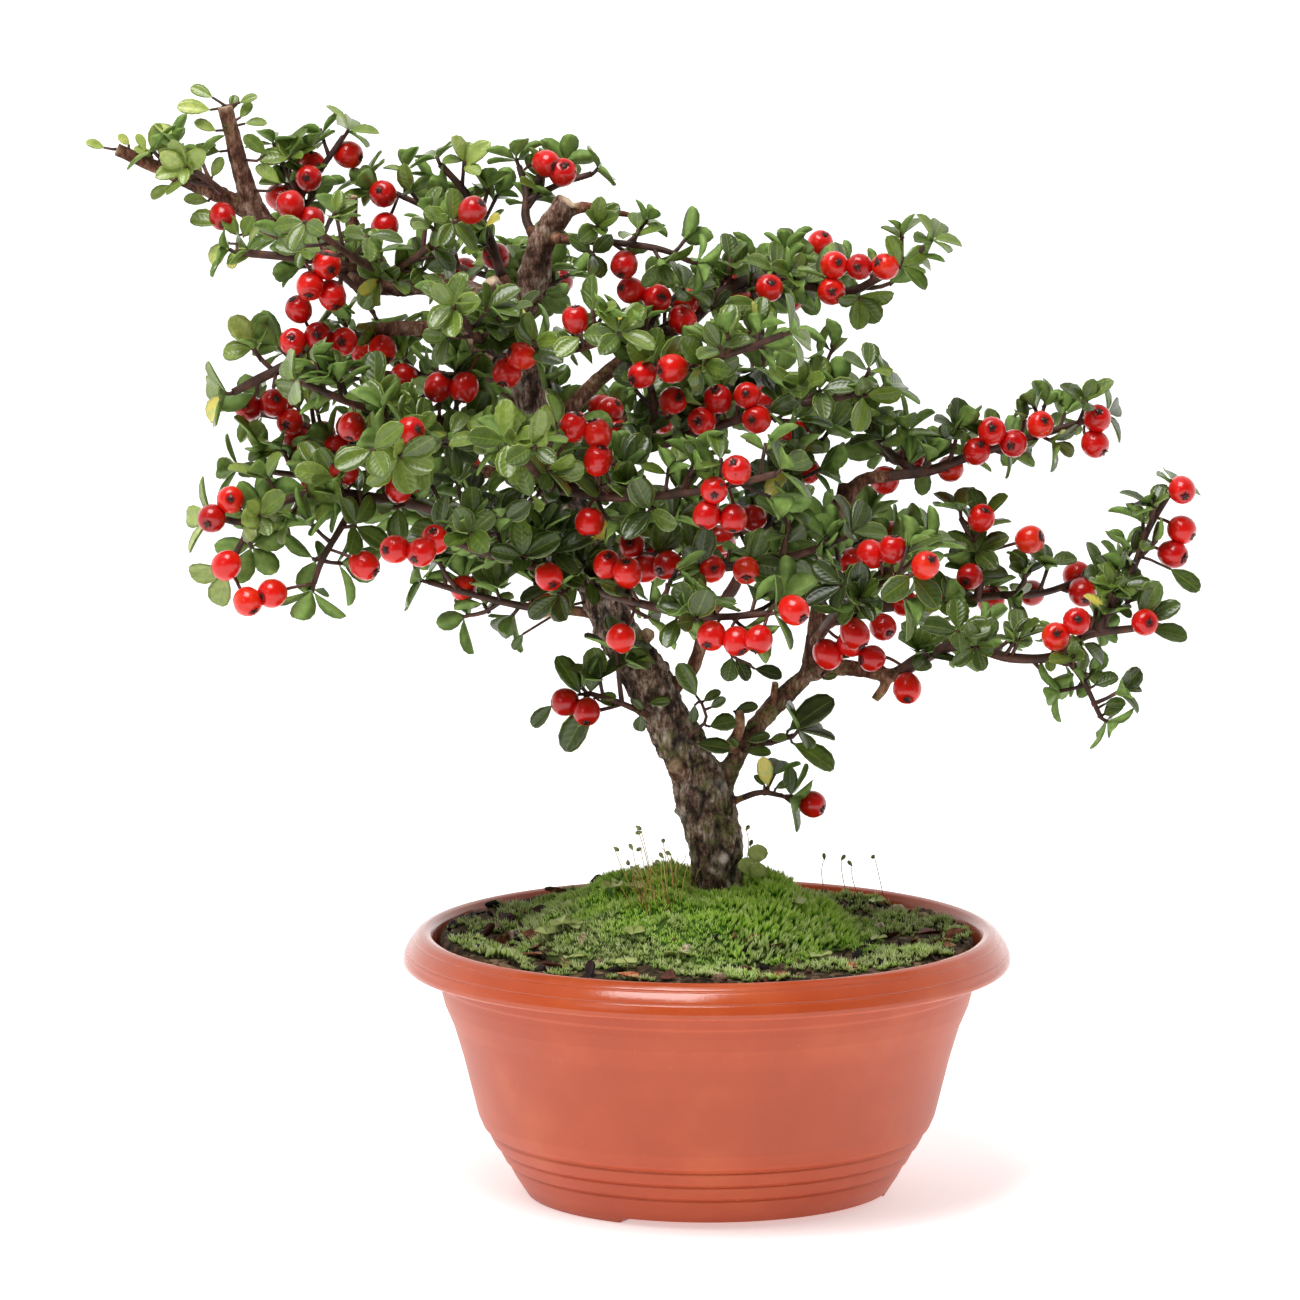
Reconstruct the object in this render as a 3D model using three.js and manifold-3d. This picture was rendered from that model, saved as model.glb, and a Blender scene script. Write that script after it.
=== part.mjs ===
// Cotoneaster bonsai in a round plastic bowl, in millimetres with Z up.
// X runs across the tree, its front faces -Y, and the pot stands on Z = 0.

import * as THREE from 'three';
import { mergeVertices } from 'three/addons/utils/BufferGeometryUtils.js';
import Module from 'manifold-3d';

const wasm = await Module();
wasm.setup();

const UP = new THREE.Vector3(0, 0, 1);

// Driving dimensions
const GAP = 0.35;
const SIGHT = 0.14;

const POT_SIDES = 32;
const POT_LIP_RADIUS = 85;
const POT_HEIGHT = 74;
const POT_WALL = 2.2;
const FOOT_HEIGHT = 2;
const FOOT_INNER = 45.5;
const FOOT_OUTER = 50.5;
const FOOT_START = [-101.6, 78.4];
const FOOT_SWEEP = 73;
const DRAIN_HOLES = 5;
const DRAIN_RADIUS = 4;
const DRAIN_RING = 30;

const SOIL_LEVEL = 73;
const MOSS_CENTRE = [-2, -2];
const MOSS_RADIUS = 45;
const MOSS_CREST = 17;
const MOSS_SIDES = 26;
const MOSS_RINGS = 6;

const STEM_SIDES = 4;
const STEM_STEP = 15;
const FIRST_ROSETTE = 11;
const ROSETTE_STEP = 34;
const TIP_CLEAR = 4;
const SPUR_SHORTEST = 4;
const SPUR_SPREAD = 6;
const TIP_SPUR = 2.4;
const SPUR_SUNK = 0.7;
const SPUR_LIFT = 0.75;
const SPUR_LEAN = 0.5;
const TIP_LEAN = 3;
const SPUR_TRIES = 6;
const GOLDEN_ANGLE = 2.39996;

const FOUR_LEAF_SHARE = 0.5;
const LEAF_LENGTH = 12;
const LEAF_WIDTH = 7;
const LEAF_THICK = 0.66;
const LEAF_WIDEST = 0.6;
const LEAF_RISE = 0.12;
const HUB_RADIUS = 1.1;

const BERRY_RADIUS = 4.25;
const BERRY_CORNER = 1.12;
const BERRY_TALL = 1.04;
const BERRY_PRESS = 1.3;
const BERRY_PUSH = 0.5;
const BERRY_PUSHES = 40;
const STALK_RADIUS = 1.1;

// Finishes
const terracotta = { name: 'pot_plastic', color: '#bd5a38', roughness: 0.45 };
const potPlastic = new THREE.MeshStandardMaterial(terracotta);
const soilMix = new THREE.MeshStandardMaterial({ name: 'soil', color: '#3a3024', roughness: 0.95 });
const mossGreen = new THREE.MeshStandardMaterial({ name: 'moss', color: '#6d9a26', roughness: 0.95 });
const bark = new THREE.MeshStandardMaterial({ name: 'bark', color: '#3b2a22', roughness: 0.85 });
const foliage = new THREE.MeshStandardMaterial({ name: 'leaf', color: '#3f6a2f', roughness: 0.4 });
const berryRed = new THREE.MeshStandardMaterial({ name: 'berry', color: '#d8201a', roughness: 0.3 });

// A fixed draw between 0 and 1 for each pair of whole numbers.
function draw(a, b) {
  const wave = Math.sin(a * 12.9898 + b * 78.233) * 43758.5453;
  return wave - Math.floor(wave);
}

// Routes are written [across, depth, height] as the front view shows them. The view looks
// a little down, so what stands nearer than the trunk is seen lower than it is.
function seen([across, depth, height]) {
  return new THREE.Vector3(across, depth, height - SIGHT * depth);
}

// A closed triangle mesh from a list of points and a list of faces.
function closedSolid(points, faces) {
  const vertProperties = new Float32Array(points.flatMap((p) => [p.x, p.y, p.z]));
  const triVerts = new Uint32Array(faces.flat());
  return new wasm.Manifold(new wasm.Mesh({ numProp: 3, vertProperties, triVerts }));
}

// A three.js geometry made into a solid, by its merged vertex places alone.
function solidOf(geometry) {
  geometry.deleteAttribute('normal');
  geometry.deleteAttribute('uv');
  const merged = mergeVertices(geometry, 1e-4);
  const vertProperties = new Float32Array(merged.attributes.position.array);
  const triVerts = new Uint32Array(merged.index.array);
  return new wasm.Manifold(new wasm.Mesh({ numProp: 3, vertProperties, triVerts }));
}

function geometryOf(solid) {
  const mesh = solid.getMesh();
  const geometry = new THREE.BufferGeometry();
  geometry.setAttribute('position', new THREE.BufferAttribute(mesh.vertProperties, 3));
  geometry.setIndex(new THREE.BufferAttribute(mesh.triVerts, 1));
  geometry.computeVertexNormals();
  return geometry;
}

function join(solids) {
  return solids.reduce((whole, one) => whole.add(one));
}

// A body of revolution about Z, from a closed outline of [radius, height] points.
function turned(outline, sides) {
  const points = outline.map(([radius, height]) => new THREE.Vector2(radius, height));
  const lathe = new THREE.LatheGeometry([...points, points[0]], sides);
  lathe.rotateX(Math.PI / 2);
  return solidOf(lathe);
}

// Pot
// The outside runs up from the foot over three low ledges to the flat underside of a broad lip;
// the inside follows one wall thickness in, down to the floor.
const POT_OUTSIDE = [
  [FOOT_OUTER, 0], [51.8, FOOT_HEIGHT], [55.4, 8.4], [56.4, 9], [58.2, 12.8], [59.2, 13.4],
  [61, 17.2], [62.6, 18.6], [68, 38.5], [73.2, 53.6], [75.8, 64], [84.3, 64.4],
  [POT_LIP_RADIUS, 66], [83.2, 70.2], [79.6, POT_HEIGHT], [76.4, 72.6],
];
const POT_INSIDE = [[74.4, 66], [65.6, 38.5], [50, FOOT_HEIGHT + POT_WALL]];

function makePot() {
  const floorTop = FOOT_HEIGHT + POT_WALL;
  const underside = [[0, floorTop], [0, FOOT_HEIGHT], [FOOT_INNER, FOOT_HEIGHT], [FOOT_INNER, 0]];
  let pot = turned([...POT_OUTSIDE, ...POT_INSIDE, ...underside], POT_SIDES);
  for (let i = 0; i < 2; i += 1) {
    const from = FOOT_START[i] + FOOT_SWEEP;
    pot = pot.subtract(ringWedge(from, 180 - FOOT_SWEEP));
  }
  for (let i = 0; i < DRAIN_HOLES; i += 1) {
    const angle = (i / DRAIN_HOLES) * 2 * Math.PI;
    const hole = new THREE.CylinderGeometry(DRAIN_RADIUS, DRAIN_RADIUS, 4 * POT_WALL, 6);
    hole.rotateX(Math.PI / 2);
    hole.translate(DRAIN_RING * Math.cos(angle), DRAIN_RING * Math.sin(angle), FOOT_HEIGHT);
    pot = pot.subtract(solidOf(hole));
  }
  return pot;
}

// A wedge that opens the foot ring over an arc, its ends slanted by a degree or two. Angles
// run from the front towards +X.
function ringWedge(fromDegrees, sweepDegrees) {
  const near = FOOT_INNER - 2;
  const far = FOOT_OUTER + 4;
  const below = -1;
  const above = FOOT_HEIGHT - 0.05;
  const slant = 1.6;
  const points = [];
  const stations = 8;
  for (let i = 0; i <= stations; i += 1) {
    const t = i / stations;
    for (const [level, narrow] of [[below, 0], [above, slant]]) {
      const degrees = fromDegrees + narrow + t * (sweepDegrees - 2 * narrow);
      const angle = THREE.MathUtils.degToRad(degrees);
      for (const radius of [near, far]) {
        points.push(new THREE.Vector3(radius * Math.sin(angle), -radius * Math.cos(angle), level));
      }
    }
  }
  const faces = [[0, 1, 3], [0, 3, 2]];
  for (let i = 0; i < stations; i += 1) {
    const a = i * 4;
    const b = a + 4;
    for (const [p, q] of [[0, 2], [2, 3], [3, 1], [1, 0]]) {
      faces.push([a + p, a + q, b + q], [a + p, b + q, b + p]);
    }
  }
  const last = stations * 4;
  faces.push([last, last + 3, last + 1], [last, last + 2, last + 3]);
  return closedSolid(points, faces);
}

// Soil
// It fills the pot to a little under the lip, with a low uneven top.
const SOIL_WALL = [[49.4, FOOT_HEIGHT + POT_WALL + GAP], [65.1, 38.7], [73.9, 66]];
const SOIL_TOP = [[74.6, SOIL_LEVEL - 2], [66, SOIL_LEVEL], [55, SOIL_LEVEL], [0, SOIL_LEVEL]];
const SOIL_LUMP = 0.8;
const SOIL_FLAT_RADIUS = 50;

function makeSoil(trunkHole) {
  const outline = [[0, SOIL_WALL[0][1]], ...SOIL_WALL, ...SOIL_TOP];
  const points = outline.map(([radius, height]) => new THREE.Vector2(radius, height));
  const lathe = new THREE.LatheGeometry(points, POT_SIDES);
  lathe.rotateX(Math.PI / 2);
  const place = lathe.attributes.position;
  for (let i = 0; i < place.count; i += 1) {
    const x = place.getX(i);
    const y = place.getY(i);
    const radius = Math.hypot(x, y);
    if (place.getZ(i) > SOIL_LEVEL - 1 && radius > SOIL_FLAT_RADIUS) {
      const lump = Math.sin(x * 0.31 + 1) * Math.cos(y * 0.27) + 0.6 * Math.sin(x * 0.12 - y * 0.17);
      place.setZ(i, SOIL_LEVEL + SOIL_LUMP * lump);
    }
  }
  return solidOf(lathe).subtract(trunkHole);
}

// Moss
// One cushion heaped round the foot of the trunk, broader to the left and lumpy all over.
function makeMoss(trunkHole) {
  const base = SOIL_LEVEL + 1.2 + GAP;
  const edge = 1;
  const points = [new THREE.Vector3(MOSS_CENTRE[0], MOSS_CENTRE[1], base + MOSS_CREST)];
  const reach = (angle) => (
    MOSS_RADIUS * (1 - 0.12 * Math.cos(angle) + 0.04 * Math.sin(3 * angle + 1)));
  for (let i = 1; i <= MOSS_RINGS; i += 1) {
    for (let k = 0; k < MOSS_SIDES; k += 1) {
      const angle = (k / MOSS_SIDES) * 2 * Math.PI;
      const out = i / MOSS_RINGS;
      const x = MOSS_CENTRE[0] + out * reach(angle) * Math.cos(angle);
      const y = MOSS_CENTRE[1] + out * reach(angle) * Math.sin(angle);
      const swell = Math.cos(out * Math.PI / 2) ** 0.95;
      const lump = (Math.sin(x * 0.42) + Math.sin(y * 0.47 + 1)) * (1 - out ** 3);
      points.push(new THREE.Vector3(x, y, base + edge + (MOSS_CREST - edge) * swell + 0.8 * lump));
    }
  }
  const rim = points.length - MOSS_SIDES;
  const under = points.length;
  for (let k = 0; k < MOSS_SIDES; k += 1) {
    points.push(new THREE.Vector3(points[rim + k].x, points[rim + k].y, base));
  }
  points.push(new THREE.Vector3(MOSS_CENTRE[0], MOSS_CENTRE[1], base));
  const faces = [];
  for (let k = 0; k < MOSS_SIDES; k += 1) {
    const next = (k + 1) % MOSS_SIDES;
    faces.push([0, 1 + k, 1 + next]);
    for (let i = 0; i < MOSS_RINGS; i += 1) {
      const inner = 1 + i * MOSS_SIDES;
      const outer = inner + MOSS_SIDES;
      faces.push([inner + k, outer + k, outer + next], [inner + k, outer + next, inner + next]);
    }
    faces.push([under + next, under + k, points.length - 1]);
  }
  return closedSolid(points, faces).subtract(trunkHole);
}

// Wood routes
// Thick is a list of diameters spread evenly along the route.
const TRUNK = {
  sides: 9,
  step: 11,
  thick: [
    21, 20, 18, 15.6, 14.6, 16.6, 14.8, 13.8, 13.6, 13.2, 12.7, 12.4, 12.3, 12, 11.6, 11.2, 10.6,
    10, 9.4, 9, 8.6,
  ],
  route: [
    [4, 0, 60], [3.5, 0, 80], [3, 0, 90], [2, -1, 100], [0, -1, 110], [-4, -1, 120], [-9, -1, 130],
    [-14, -1, 140], [-20, 0, 150], [-26, 1, 160], [-30, 2, 170], [-33, 3, 180], [-38, 4, 190],
    [-42, 4, 203], [-46, 3, 215], [-51, 2, 233], [-53, 0, 250],
  ],
};
const SUB_TRUNK = {
  sides: 6,
  step: 11,
  thick: [8, 6.4, 5.8, 5.4, 4.4, 4, 3.6, 3],
  route: [
    [1, 0, 106], [4, 0, 114], [10.3, 2, 126], [18.5, 4, 137], [28, 6, 147], [29.6, 7, 156.5],
    [32.7, 9, 174], [36.5, 11, 191], [38, 12, 200],
  ],
};
const UPPER_LEFT = {
  sides: 6,
  step: 14,
  thick: [7, 6.4, 6, 5.6, 5.2, 4.8, 4.2, 3.7],
  route: [
    [-53, 0, 246], [-62, 1, 252], [-75, 2, 255], [-86, 3, 255], [-95, 3, 256], [-108, 3, 264],
    [-121.3, 3, 271.6], [-134.3, 2, 280], [-148, 1, 286], [-163, 0, 292.7],
  ],
};
const STUBS = [
  {
    thick: [9, 8, 7.4, 6.6],
    route: [
      [-53, 0, 244], [-48, -7, 256], [-45.5, -10, 267], [-38.4, -12, 278],
    ],
  },
  { thick: [4, 1.6], route: [[-43, -10, 271], [-36, -12, 276], [-21, -12, 274]] },
  { thick: [5.5, 5], route: [[-50, 1, 232], [-57, -4, 235], [-63, -7, 234]] },
  { thick: [5.5, 5], route: [[-53, 0, 246], [-57, -5, 251], [-60, -8, 256]] },
  { thick: [5.6, 4.8, 4.4], route: [[-124, 3, 273], [-128.3, 1, 285], [-132.9, -1, 304.6]] },
  { thick: [3, 2.5], route: [[-98, 3, 258], [-98, 2, 268], [-97.6, 1, 280]] },
  { thick: [3, 2.4], route: [[48, 0, 147], [49.7, -3, 144], [46.6, -4, 139]] },
];

// Leafy branches
// Each grows from the wood, which holds its first stretch, bare of leaves, as a share of its length.
// Further stems fork from the first one.
const BRANCHES = [
  {
    name: 'right_mid',
    bare: 0.22,
    stems: [
      {
        thick: [3.8, 2],
        route: [
          [37, 11, 193], [43, 13, 200.5], [52, 15, 202], [62, 16, 203.4], [74.6, 18, 208],
          [90, 20, 212.8], [102.4, 21, 216.4], [110, 21, 219],
        ],
      },
      { thick: [2.4, 1.6], route: [[58, 15.6, 203], [51, 22, 209], [45, 26, 216], [42, 28, 223]] },
    ],
  },
  {
    name: 'lower_right',
    bare: 0.3,
    stems: [
      {
        thick: [4.6, 2],
        route: [
          [28, 6, 147], [38, 3, 148], [45, 0, 147], [51.6, -3, 146], [60, -6, 151],
          [70, -9, 154.6], [84, -12, 151], [97, -14, 151.7], [104, -15, 157], [119, -17, 159.5],
        ],
      },
      {
        thick: [2.2, 1.6],
        route: [
          [108, -15.5, 158.4], [112.4, -14, 167], [117.8, -12, 176.3], [121.9, -10, 187],
          [127.8, -8, 197],
        ],
      },
      { thick: [1.8, 1.4], route: [[98, -14, 152], [103, -17, 146], [108.6, -19, 134.6]] },
    ],
  },
  {
    name: 'centre_right',
    bare: 0.2,
    stems: [
      {
        thick: [3.6, 1.8],
        route: [
          [30, 7, 158], [38, 12, 163], [50, 16, 165], [64, 20, 165.5], [80, 23, 168], [95, 26, 169], [106, 28, 173], [114, 29, 176],
        ],
      },
      { thick: [2, 1.6], route: [[76, 22.4, 167], [76.5, 19, 178], [71, 16, 190]] },
    ],
  },
  {
    name: 'right_front',
    bare: 0.22,
    stems: [
      {
        thick: [3.2, 1.8],
        route: [
          [29.6, 7, 154], [33, -10, 160], [38, -26, 166], [45, -41, 171], [54, -55, 174],
        ],
      },
    ],
  },
  {
    name: 'right_back',
    bare: 0.22,
    stems: [
      {
        thick: [3.2, 1.8],
        route: [
          [34, 10, 180], [40, 27, 182], [46, 42, 183], [50, 54, 184],
        ],
      },
    ],
  },
  {
    name: 'upper_right',
    bare: 0.28,
    stems: [
      {
        thick: [5, 2],
        route: [
          [-45, 3, 211], [-33, 4, 226], [-18, 5, 238], [-5, 5, 245], [1.3, 5, 250.8], [10, 5, 256],
          [22, 5, 256.5], [39, 3, 253.3], [47, 2, 257], [60.8, -1, 266],
        ],
      },
      { thick: [2, 1.5], route: [[12, 5, 256.5], [14.5, -2, 246], [15.5, -8, 234]] },
      { thick: [2.4, 1.6], route: [[0, 5, 249.5], [10, 22, 254], [24, 40, 257], [36, 54, 260]] },
    ],
  },
  {
    name: 'mid_right',
    bare: 0.2,
    stems: [
      {
        thick: [4, 1.6],
        route: [
          [-41, 4, 199], [-28, -3, 206], [-12, -9, 211], [4, -12, 216], [18, -15, 220.5],
          [37, -18, 223.6], [47, -20, 225.6],
        ],
      },
      {
        thick: [2.6, 1.6],
        route: [
          [-16, -8, 210], [-15, -12, 222], [-17.4, -14, 236], [-14, -15, 247], [-8, -15, 252],
        ],
      },
    ],
  },
  {
    name: 'low_centre',
    bare: 0.22,
    stems: [
      {
        thick: [4, 1.8],
        route: [
          [-32, 3, 178], [-20, -8, 179], [-8, -15, 178], [3, -20, 176.5], [14, -24, 177.5],
          [25, -27, 180], [38, -30, 185],
        ],
      },
    ],
  },
  {
    name: 'centre_stem',
    bare: 0.42,
    stems: [
      {
        thick: [4.2, 3.4, 2.4, 1.8],
        route: [
          [-15, -1, 141], [-6, -2, 145], [-2.5, -2, 152], [0.2, -1, 162], [7, 0, 170],
          [12, 1, 182], [18, 3, 191], [26, 5, 204], [30, 6, 214],
        ],
      },
    ],
  },
  {
    name: 'left_tip',
    bare: 0.2,
    stems: [
      {
        thick: [2.2, 1.6],
        route: [
          [-131, 2, 278], [-137, -5, 283.5], [-144, -7, 288], [-151, -7, 290.5],
        ],
      },
    ],
  },
  {
    name: 'left_crown',
    bare: 0.25,
    stems: [
      {
        thick: [2.6, 1.6],
        route: [
          [-112, 3, 266], [-112, 10, 275], [-115, 14, 284], [-120, 16, 293],
        ],
      },
      { thick: [2.2, 1.6], route: [[-115, 13, 278], [-108, 16, 287], [-101, 17, 297]] },
    ],
  },
  {
    name: 'left_level',
    bare: 0.25,
    stems: [
      {
        thick: [3, 2],
        route: [
          [-90, 3, 255.5], [-99, -9, 260], [-112, -15, 262], [-129, -18, 263.6],
        ],
      },
      { thick: [1.8, 1.4], route: [[-104, -11.5, 261], [-97, -9, 254], [-92, -10, 247]] },
    ],
  },
  {
    name: 'left_thick',
    bare: 0.5,
    stems: [
      {
        thick: [6, 5, 4, 2.4],
        route: [
          [-51, 2, 232], [-70, -1, 241], [-86, -3, 243], [-101.5, -6, 239], [-117.2, -8, 232],
          [-131, -9, 225],
        ],
      },
    ],
  },
  {
    name: 'mid_left',
    bare: 0.3,
    stems: [
      {
        thick: [4.4, 2.2],
        route: [
          [-42.5, 4, 203], [-58, 9, 203], [-75, 12, 204], [-90, 13, 206], [-105, 14, 213],
          [-125, 15, 221],
        ],
      },
      {
        thick: [2.4, 1.6],
        route: [
          [-84, 12.6, 205], [-98, 8, 202], [-112, 6, 202], [-128, 5, 204],
        ],
      },
    ],
  },
  {
    name: 'lower_left',
    bare: 0.2,
    stems: [
      {
        thick: [4.4, 2],
        route: [
          [-34, 3, 181], [-45, -5, 184], [-58, -11, 188], [-72, -15, 192], [-88, -18, 195],
          [-105, -20, 197], [-119, -21, 194], [-128, -22, 189], [-134, -23, 190],
        ],
      },
      {
        thick: [2, 1.5],
        route: [
          [-121, -21, 193], [-127, -27, 185], [-131, -30, 177],
        ],
      },
      { thick: [2.2, 1.6], route: [[-96, -19, 196], [-101, -26, 187], [-106, -31, 178], [-108, -32, 172]] },
    ],
  },
  {
    name: 'low_left',
    bare: 0.3,
    stems: [
      {
        thick: [3, 1.8],
        route: [
          [-28, 1.4, 163], [-38, 8, 164], [-50, 14, 165], [-64, 20, 168], [-78, 24, 172],
        ],
      },
    ],
  },
  {
    name: 'top_left',
    bare: 0.25,
    stems: [
      {
        thick: [3.6, 2],
        route: [
          [-53, 1, 247], [-57, 7, 258], [-61, 9, 270], [-67, 10, 281], [-74, 10, 289],
        ],
      },
      { thick: [2, 1.6], route: [[-60, 9, 267], [-72, 14, 274], [-84, 17, 280], [-93, 18, 284]] },
    ],
  },
  {
    name: 'top_centre',
    bare: 0.2,
    stems: [
      { thick: [3, 1.8], route: [[-46, -10, 266], [-50, -6, 273], [-50, -3, 281], [-52, -1, 288]] },
      { thick: [2, 1.6], route: [[-50, -4, 278], [-41, 0, 283], [-32, 2, 286]] },
    ],
  },
  {
    name: 'top_right',
    bare: 0.2,
    stems: [
      {
        thick: [2.8, 1.6],
        route: [
          [-45, -10, 268], [-36, -18, 267], [-24, -21, 266], [-12, -22, 264], [-5, -22, 261],
        ],
      },
    ],
  },
  {
    name: 'front_low',
    bare: 0.2,
    stems: [
      {
        thick: [4.2, 2],
        route: [
          [-30, 2, 169], [-31, -14, 170], [-36, -28, 173], [-48, -42, 177], [-61, -53, 181], [-71, -59, 184],
        ],
      },
      {
        thick: [3, 1.8],
        route: [
          [-34, -24, 171.5], [-24, -38, 168], [-12, -50, 165], [2, -60, 163], [16, -67, 164],
        ],
      },
    ],
  },
  {
    name: 'front_mid',
    bare: 0.2,
    stems: [
      {
        thick: [4, 2],
        route: [
          [-41, 4, 198], [-42, -14, 197], [-43, -34, 199], [-46, -54, 202], [-50, -72, 206],
          [-54, -86, 210],
        ],
      },
      {
        thick: [3, 1.8],
        route: [
          [-43, -30, 198.5], [-30, -42, 196], [-15, -52, 196], [1, -60, 198], [18, -66, 202],
        ],
      },
    ],
  },
  {
    name: 'front_left',
    bare: 0.22,
    stems: [
      {
        thick: [4, 2],
        route: [
          [-46, 3, 214], [-57, -13, 214], [-70, -28, 216], [-84, -41, 218], [-98, -51, 222],
          [-110, -58, 227],
        ],
      },
      {
        thick: [2.4, 1.6],
        route: [
          [-72, -30, 216.3], [-76, -46, 211], [-82, -62, 208], [-90, -74, 208],
        ],
      },
    ],
  },
  {
    name: 'front_crown',
    bare: 0.22,
    stems: [
      {
        thick: [3.8, 2],
        route: [
          [-51, 2, 238], [-56, -14, 236], [-60, -32, 237], [-64, -50, 241], [-69, -66, 247],
        ],
      },
      {
        thick: [2.4, 1.6],
        route: [
          [-59, -28, 236.8], [-48, -42, 235], [-36, -55, 236], [-25, -66, 239],
        ],
      },
    ],
  },
  {
    name: 'front_upper_left',
    bare: 0.25,
    stems: [
      {
        thick: [3, 1.8],
        route: [
          [-79, 2.3, 255], [-85, -14, 256], [-92, -29, 259], [-100, -43, 264], [-108, -54, 270],
        ],
      },
      { thick: [2.2, 1.6], route: [[-88, -21, 257.4], [-78, -34, 263], [-70, -44, 270]] },
    ],
  },
  {
    name: 'front_upper_right',
    bare: 0.25,
    stems: [
      {
        thick: [3, 1.8],
        route: [
          [-24, 4.6, 233], [-16, -24, 231], [-6, -38, 232], [6, -49, 235], [20, -57, 240],
        ],
      },
    ],
  },
  {
    name: 'back_low',
    bare: 0.2,
    stems: [
      {
        thick: [4.2, 2],
        route: [
          [-33, 3, 176], [-34, 18, 178], [-42, 34, 181], [-56, 49, 184], [-71, 61, 187],
          [-87, 70, 191],
        ],
      },
      {
        thick: [3, 1.8],
        route: [
          [-38, 28, 180], [-26, 43, 181], [-11, 56, 183], [5, 66, 186], [21, 73, 190],
        ],
      },
    ],
  },
  {
    name: 'back_mid',
    bare: 0.2,
    stems: [
      {
        thick: [4, 2],
        route: [
          [-43, 4, 206], [-42, 22, 211], [-43, 42, 216], [-46, 62, 220], [-50, 82, 223],
        ],
      },
      {
        thick: [3, 1.8],
        route: [
          [-42.4, 30, 213], [-28, 42, 217], [-13, 53, 221], [3, 62, 226], [18, 69, 230],
        ],
      },
    ],
  },
  {
    name: 'back_left',
    bare: 0.22,
    stems: [
      {
        thick: [4, 2],
        route: [
          [-50, 2, 229], [-62, 17, 230], [-76, 32, 230], [-91, 45, 231], [-106, 55, 234],
        ],
      },
    ],
  },
  {
    name: 'back_crown',
    bare: 0.22,
    stems: [
      {
        thick: [3.6, 1.8],
        route: [
          [-53, 0.4, 243], [-50, 17, 250], [-47, 35, 256], [-46, 53, 261], [-46, 70, 266],
        ],
      },
      { thick: [2.4, 1.6], route: [[-48, 30, 255], [-62, 42, 259], [-77, 52, 264]] },
    ],
  },
  {
    name: 'back_upper_left',
    bare: 0.25,
    stems: [
      {
        thick: [3, 1.8],
        route: [
          [-92, 3, 255.6], [-100, 21, 259], [-110, 36, 264], [-121, 49, 269],
        ],
      },
    ],
  },
  {
    name: 'twig_left',
    bare: 0.46,
    stems: [{
      thick: [2, 1.5],
      route: [
        [-10, -1, 132], [-19, -6, 136], [-26, -8, 139], [-33, -8, 141],
      ],
    }],
  },
  {
    name: 'twig_right',
    bare: 0.5,
    stems: [{
      thick: [2, 1.5],
      route: [
        [1, -1, 108], [8.4, -3, 110.8], [15, -5, 113], [21, -5, 112],
      ],
    }],
  },
  {
    name: 'twig_low',
    bare: 0.35,
    stems: [{ thick: [2, 1.5], route: [[11, 2, 127], [17.6, -1, 127], [24, -3, 129]] }],
  },
];

// Berry bunches
// Each hangs from the nearest stem by stalks that meet in one knot; a number is a berry's place.
const BUNCHES = {
  twig_left: [[-33.4, -13, 136], [-40.5, -9, 139]],
  twig_right: [[29.2, -6, 109.8]],
  left_upper: [[-114.8, -8, 277], [-104, -6, 269]],
  left_level: [[-104.5, -22, 260], [-113, -24, 249], [-99, -18, 250]],
  left_thick: [[-114, -16, 239], [-105.6, -14, 241], [-90, -12, 237]],
  left_end: [[-127.5, 8, 221], [-117, 7, 223], [-114, 8, 215]],
  left_mid: [[-103, 6, 209.5], [-98.5, 6, 217]],
  left_low: [[-136, -29, 190], [-126, -28, 200]],
  left_hang: [[-126, -37, 167], [-117, -36, 170]],
  left_front: [[-84.6, -66, 181.5], [-65.4, -62, 180.5], [-72, -58, 186]],
  front_left: [[-66.5, -37, 226], [-78, -36, 226]],
  front_crown: [[-54.6, -44, 230], [-44, -47, 243]],
  front_mid: [[-37, -48, 215], [-27, -47, 212], [-30, -50, 204]],
  front_right: [[-0.5, -66, 191], [6.7, -66, 190], [3.3, -63, 205]],
  front_low: [[0.8, -66, 158], [7.5, -68, 156.5], [13.5, -72, 157]],
  front_low_left: [[-27.6, -44, 177], [-17, -52, 173]],
  right_low: [[33.4, -5, 152], [41, -7, 155.5], [55.7, -8, 144]],
  right_front: [[44.4, -44, 180], [56.7, -52, 183]],
  right_end: [[96, -20, 157], [104, -21, 163]],
  right_arm: [[128.5, -12, 180], [134, -9, 195]],
  right_mid: [[79.3, 12, 214.5], [71.8, 11, 204.5], [91.4, 14, 208]],
  right_upper: [[49, -5, 260], [42, -4, 260], [28, -2, 261], [34, -3, 250]],
  centre_upper: [[-21, -20, 253], [-8.6, -21, 249]],
};

// Routes and stems
// A route as a smooth curve.
function curveOf(route) {
  return new THREE.CatmullRomCurve3(route.map(seen), false, 'centripetal');
}

// The diameter list read at a share of the length.
function radiusAt(thick, share) {
  const place = share * (thick.length - 1);
  const low = Math.min(Math.floor(place), thick.length - 2);
  return THREE.MathUtils.lerp(thick[low], thick[low + 1], place - low) / 2;
}

// How many stretches a stem is drawn in.
function ringCount(stem) {
  return Math.max(1, Math.round(curveOf(stem.route).getLength() / (stem.step ?? STEM_STEP)));
}

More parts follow.
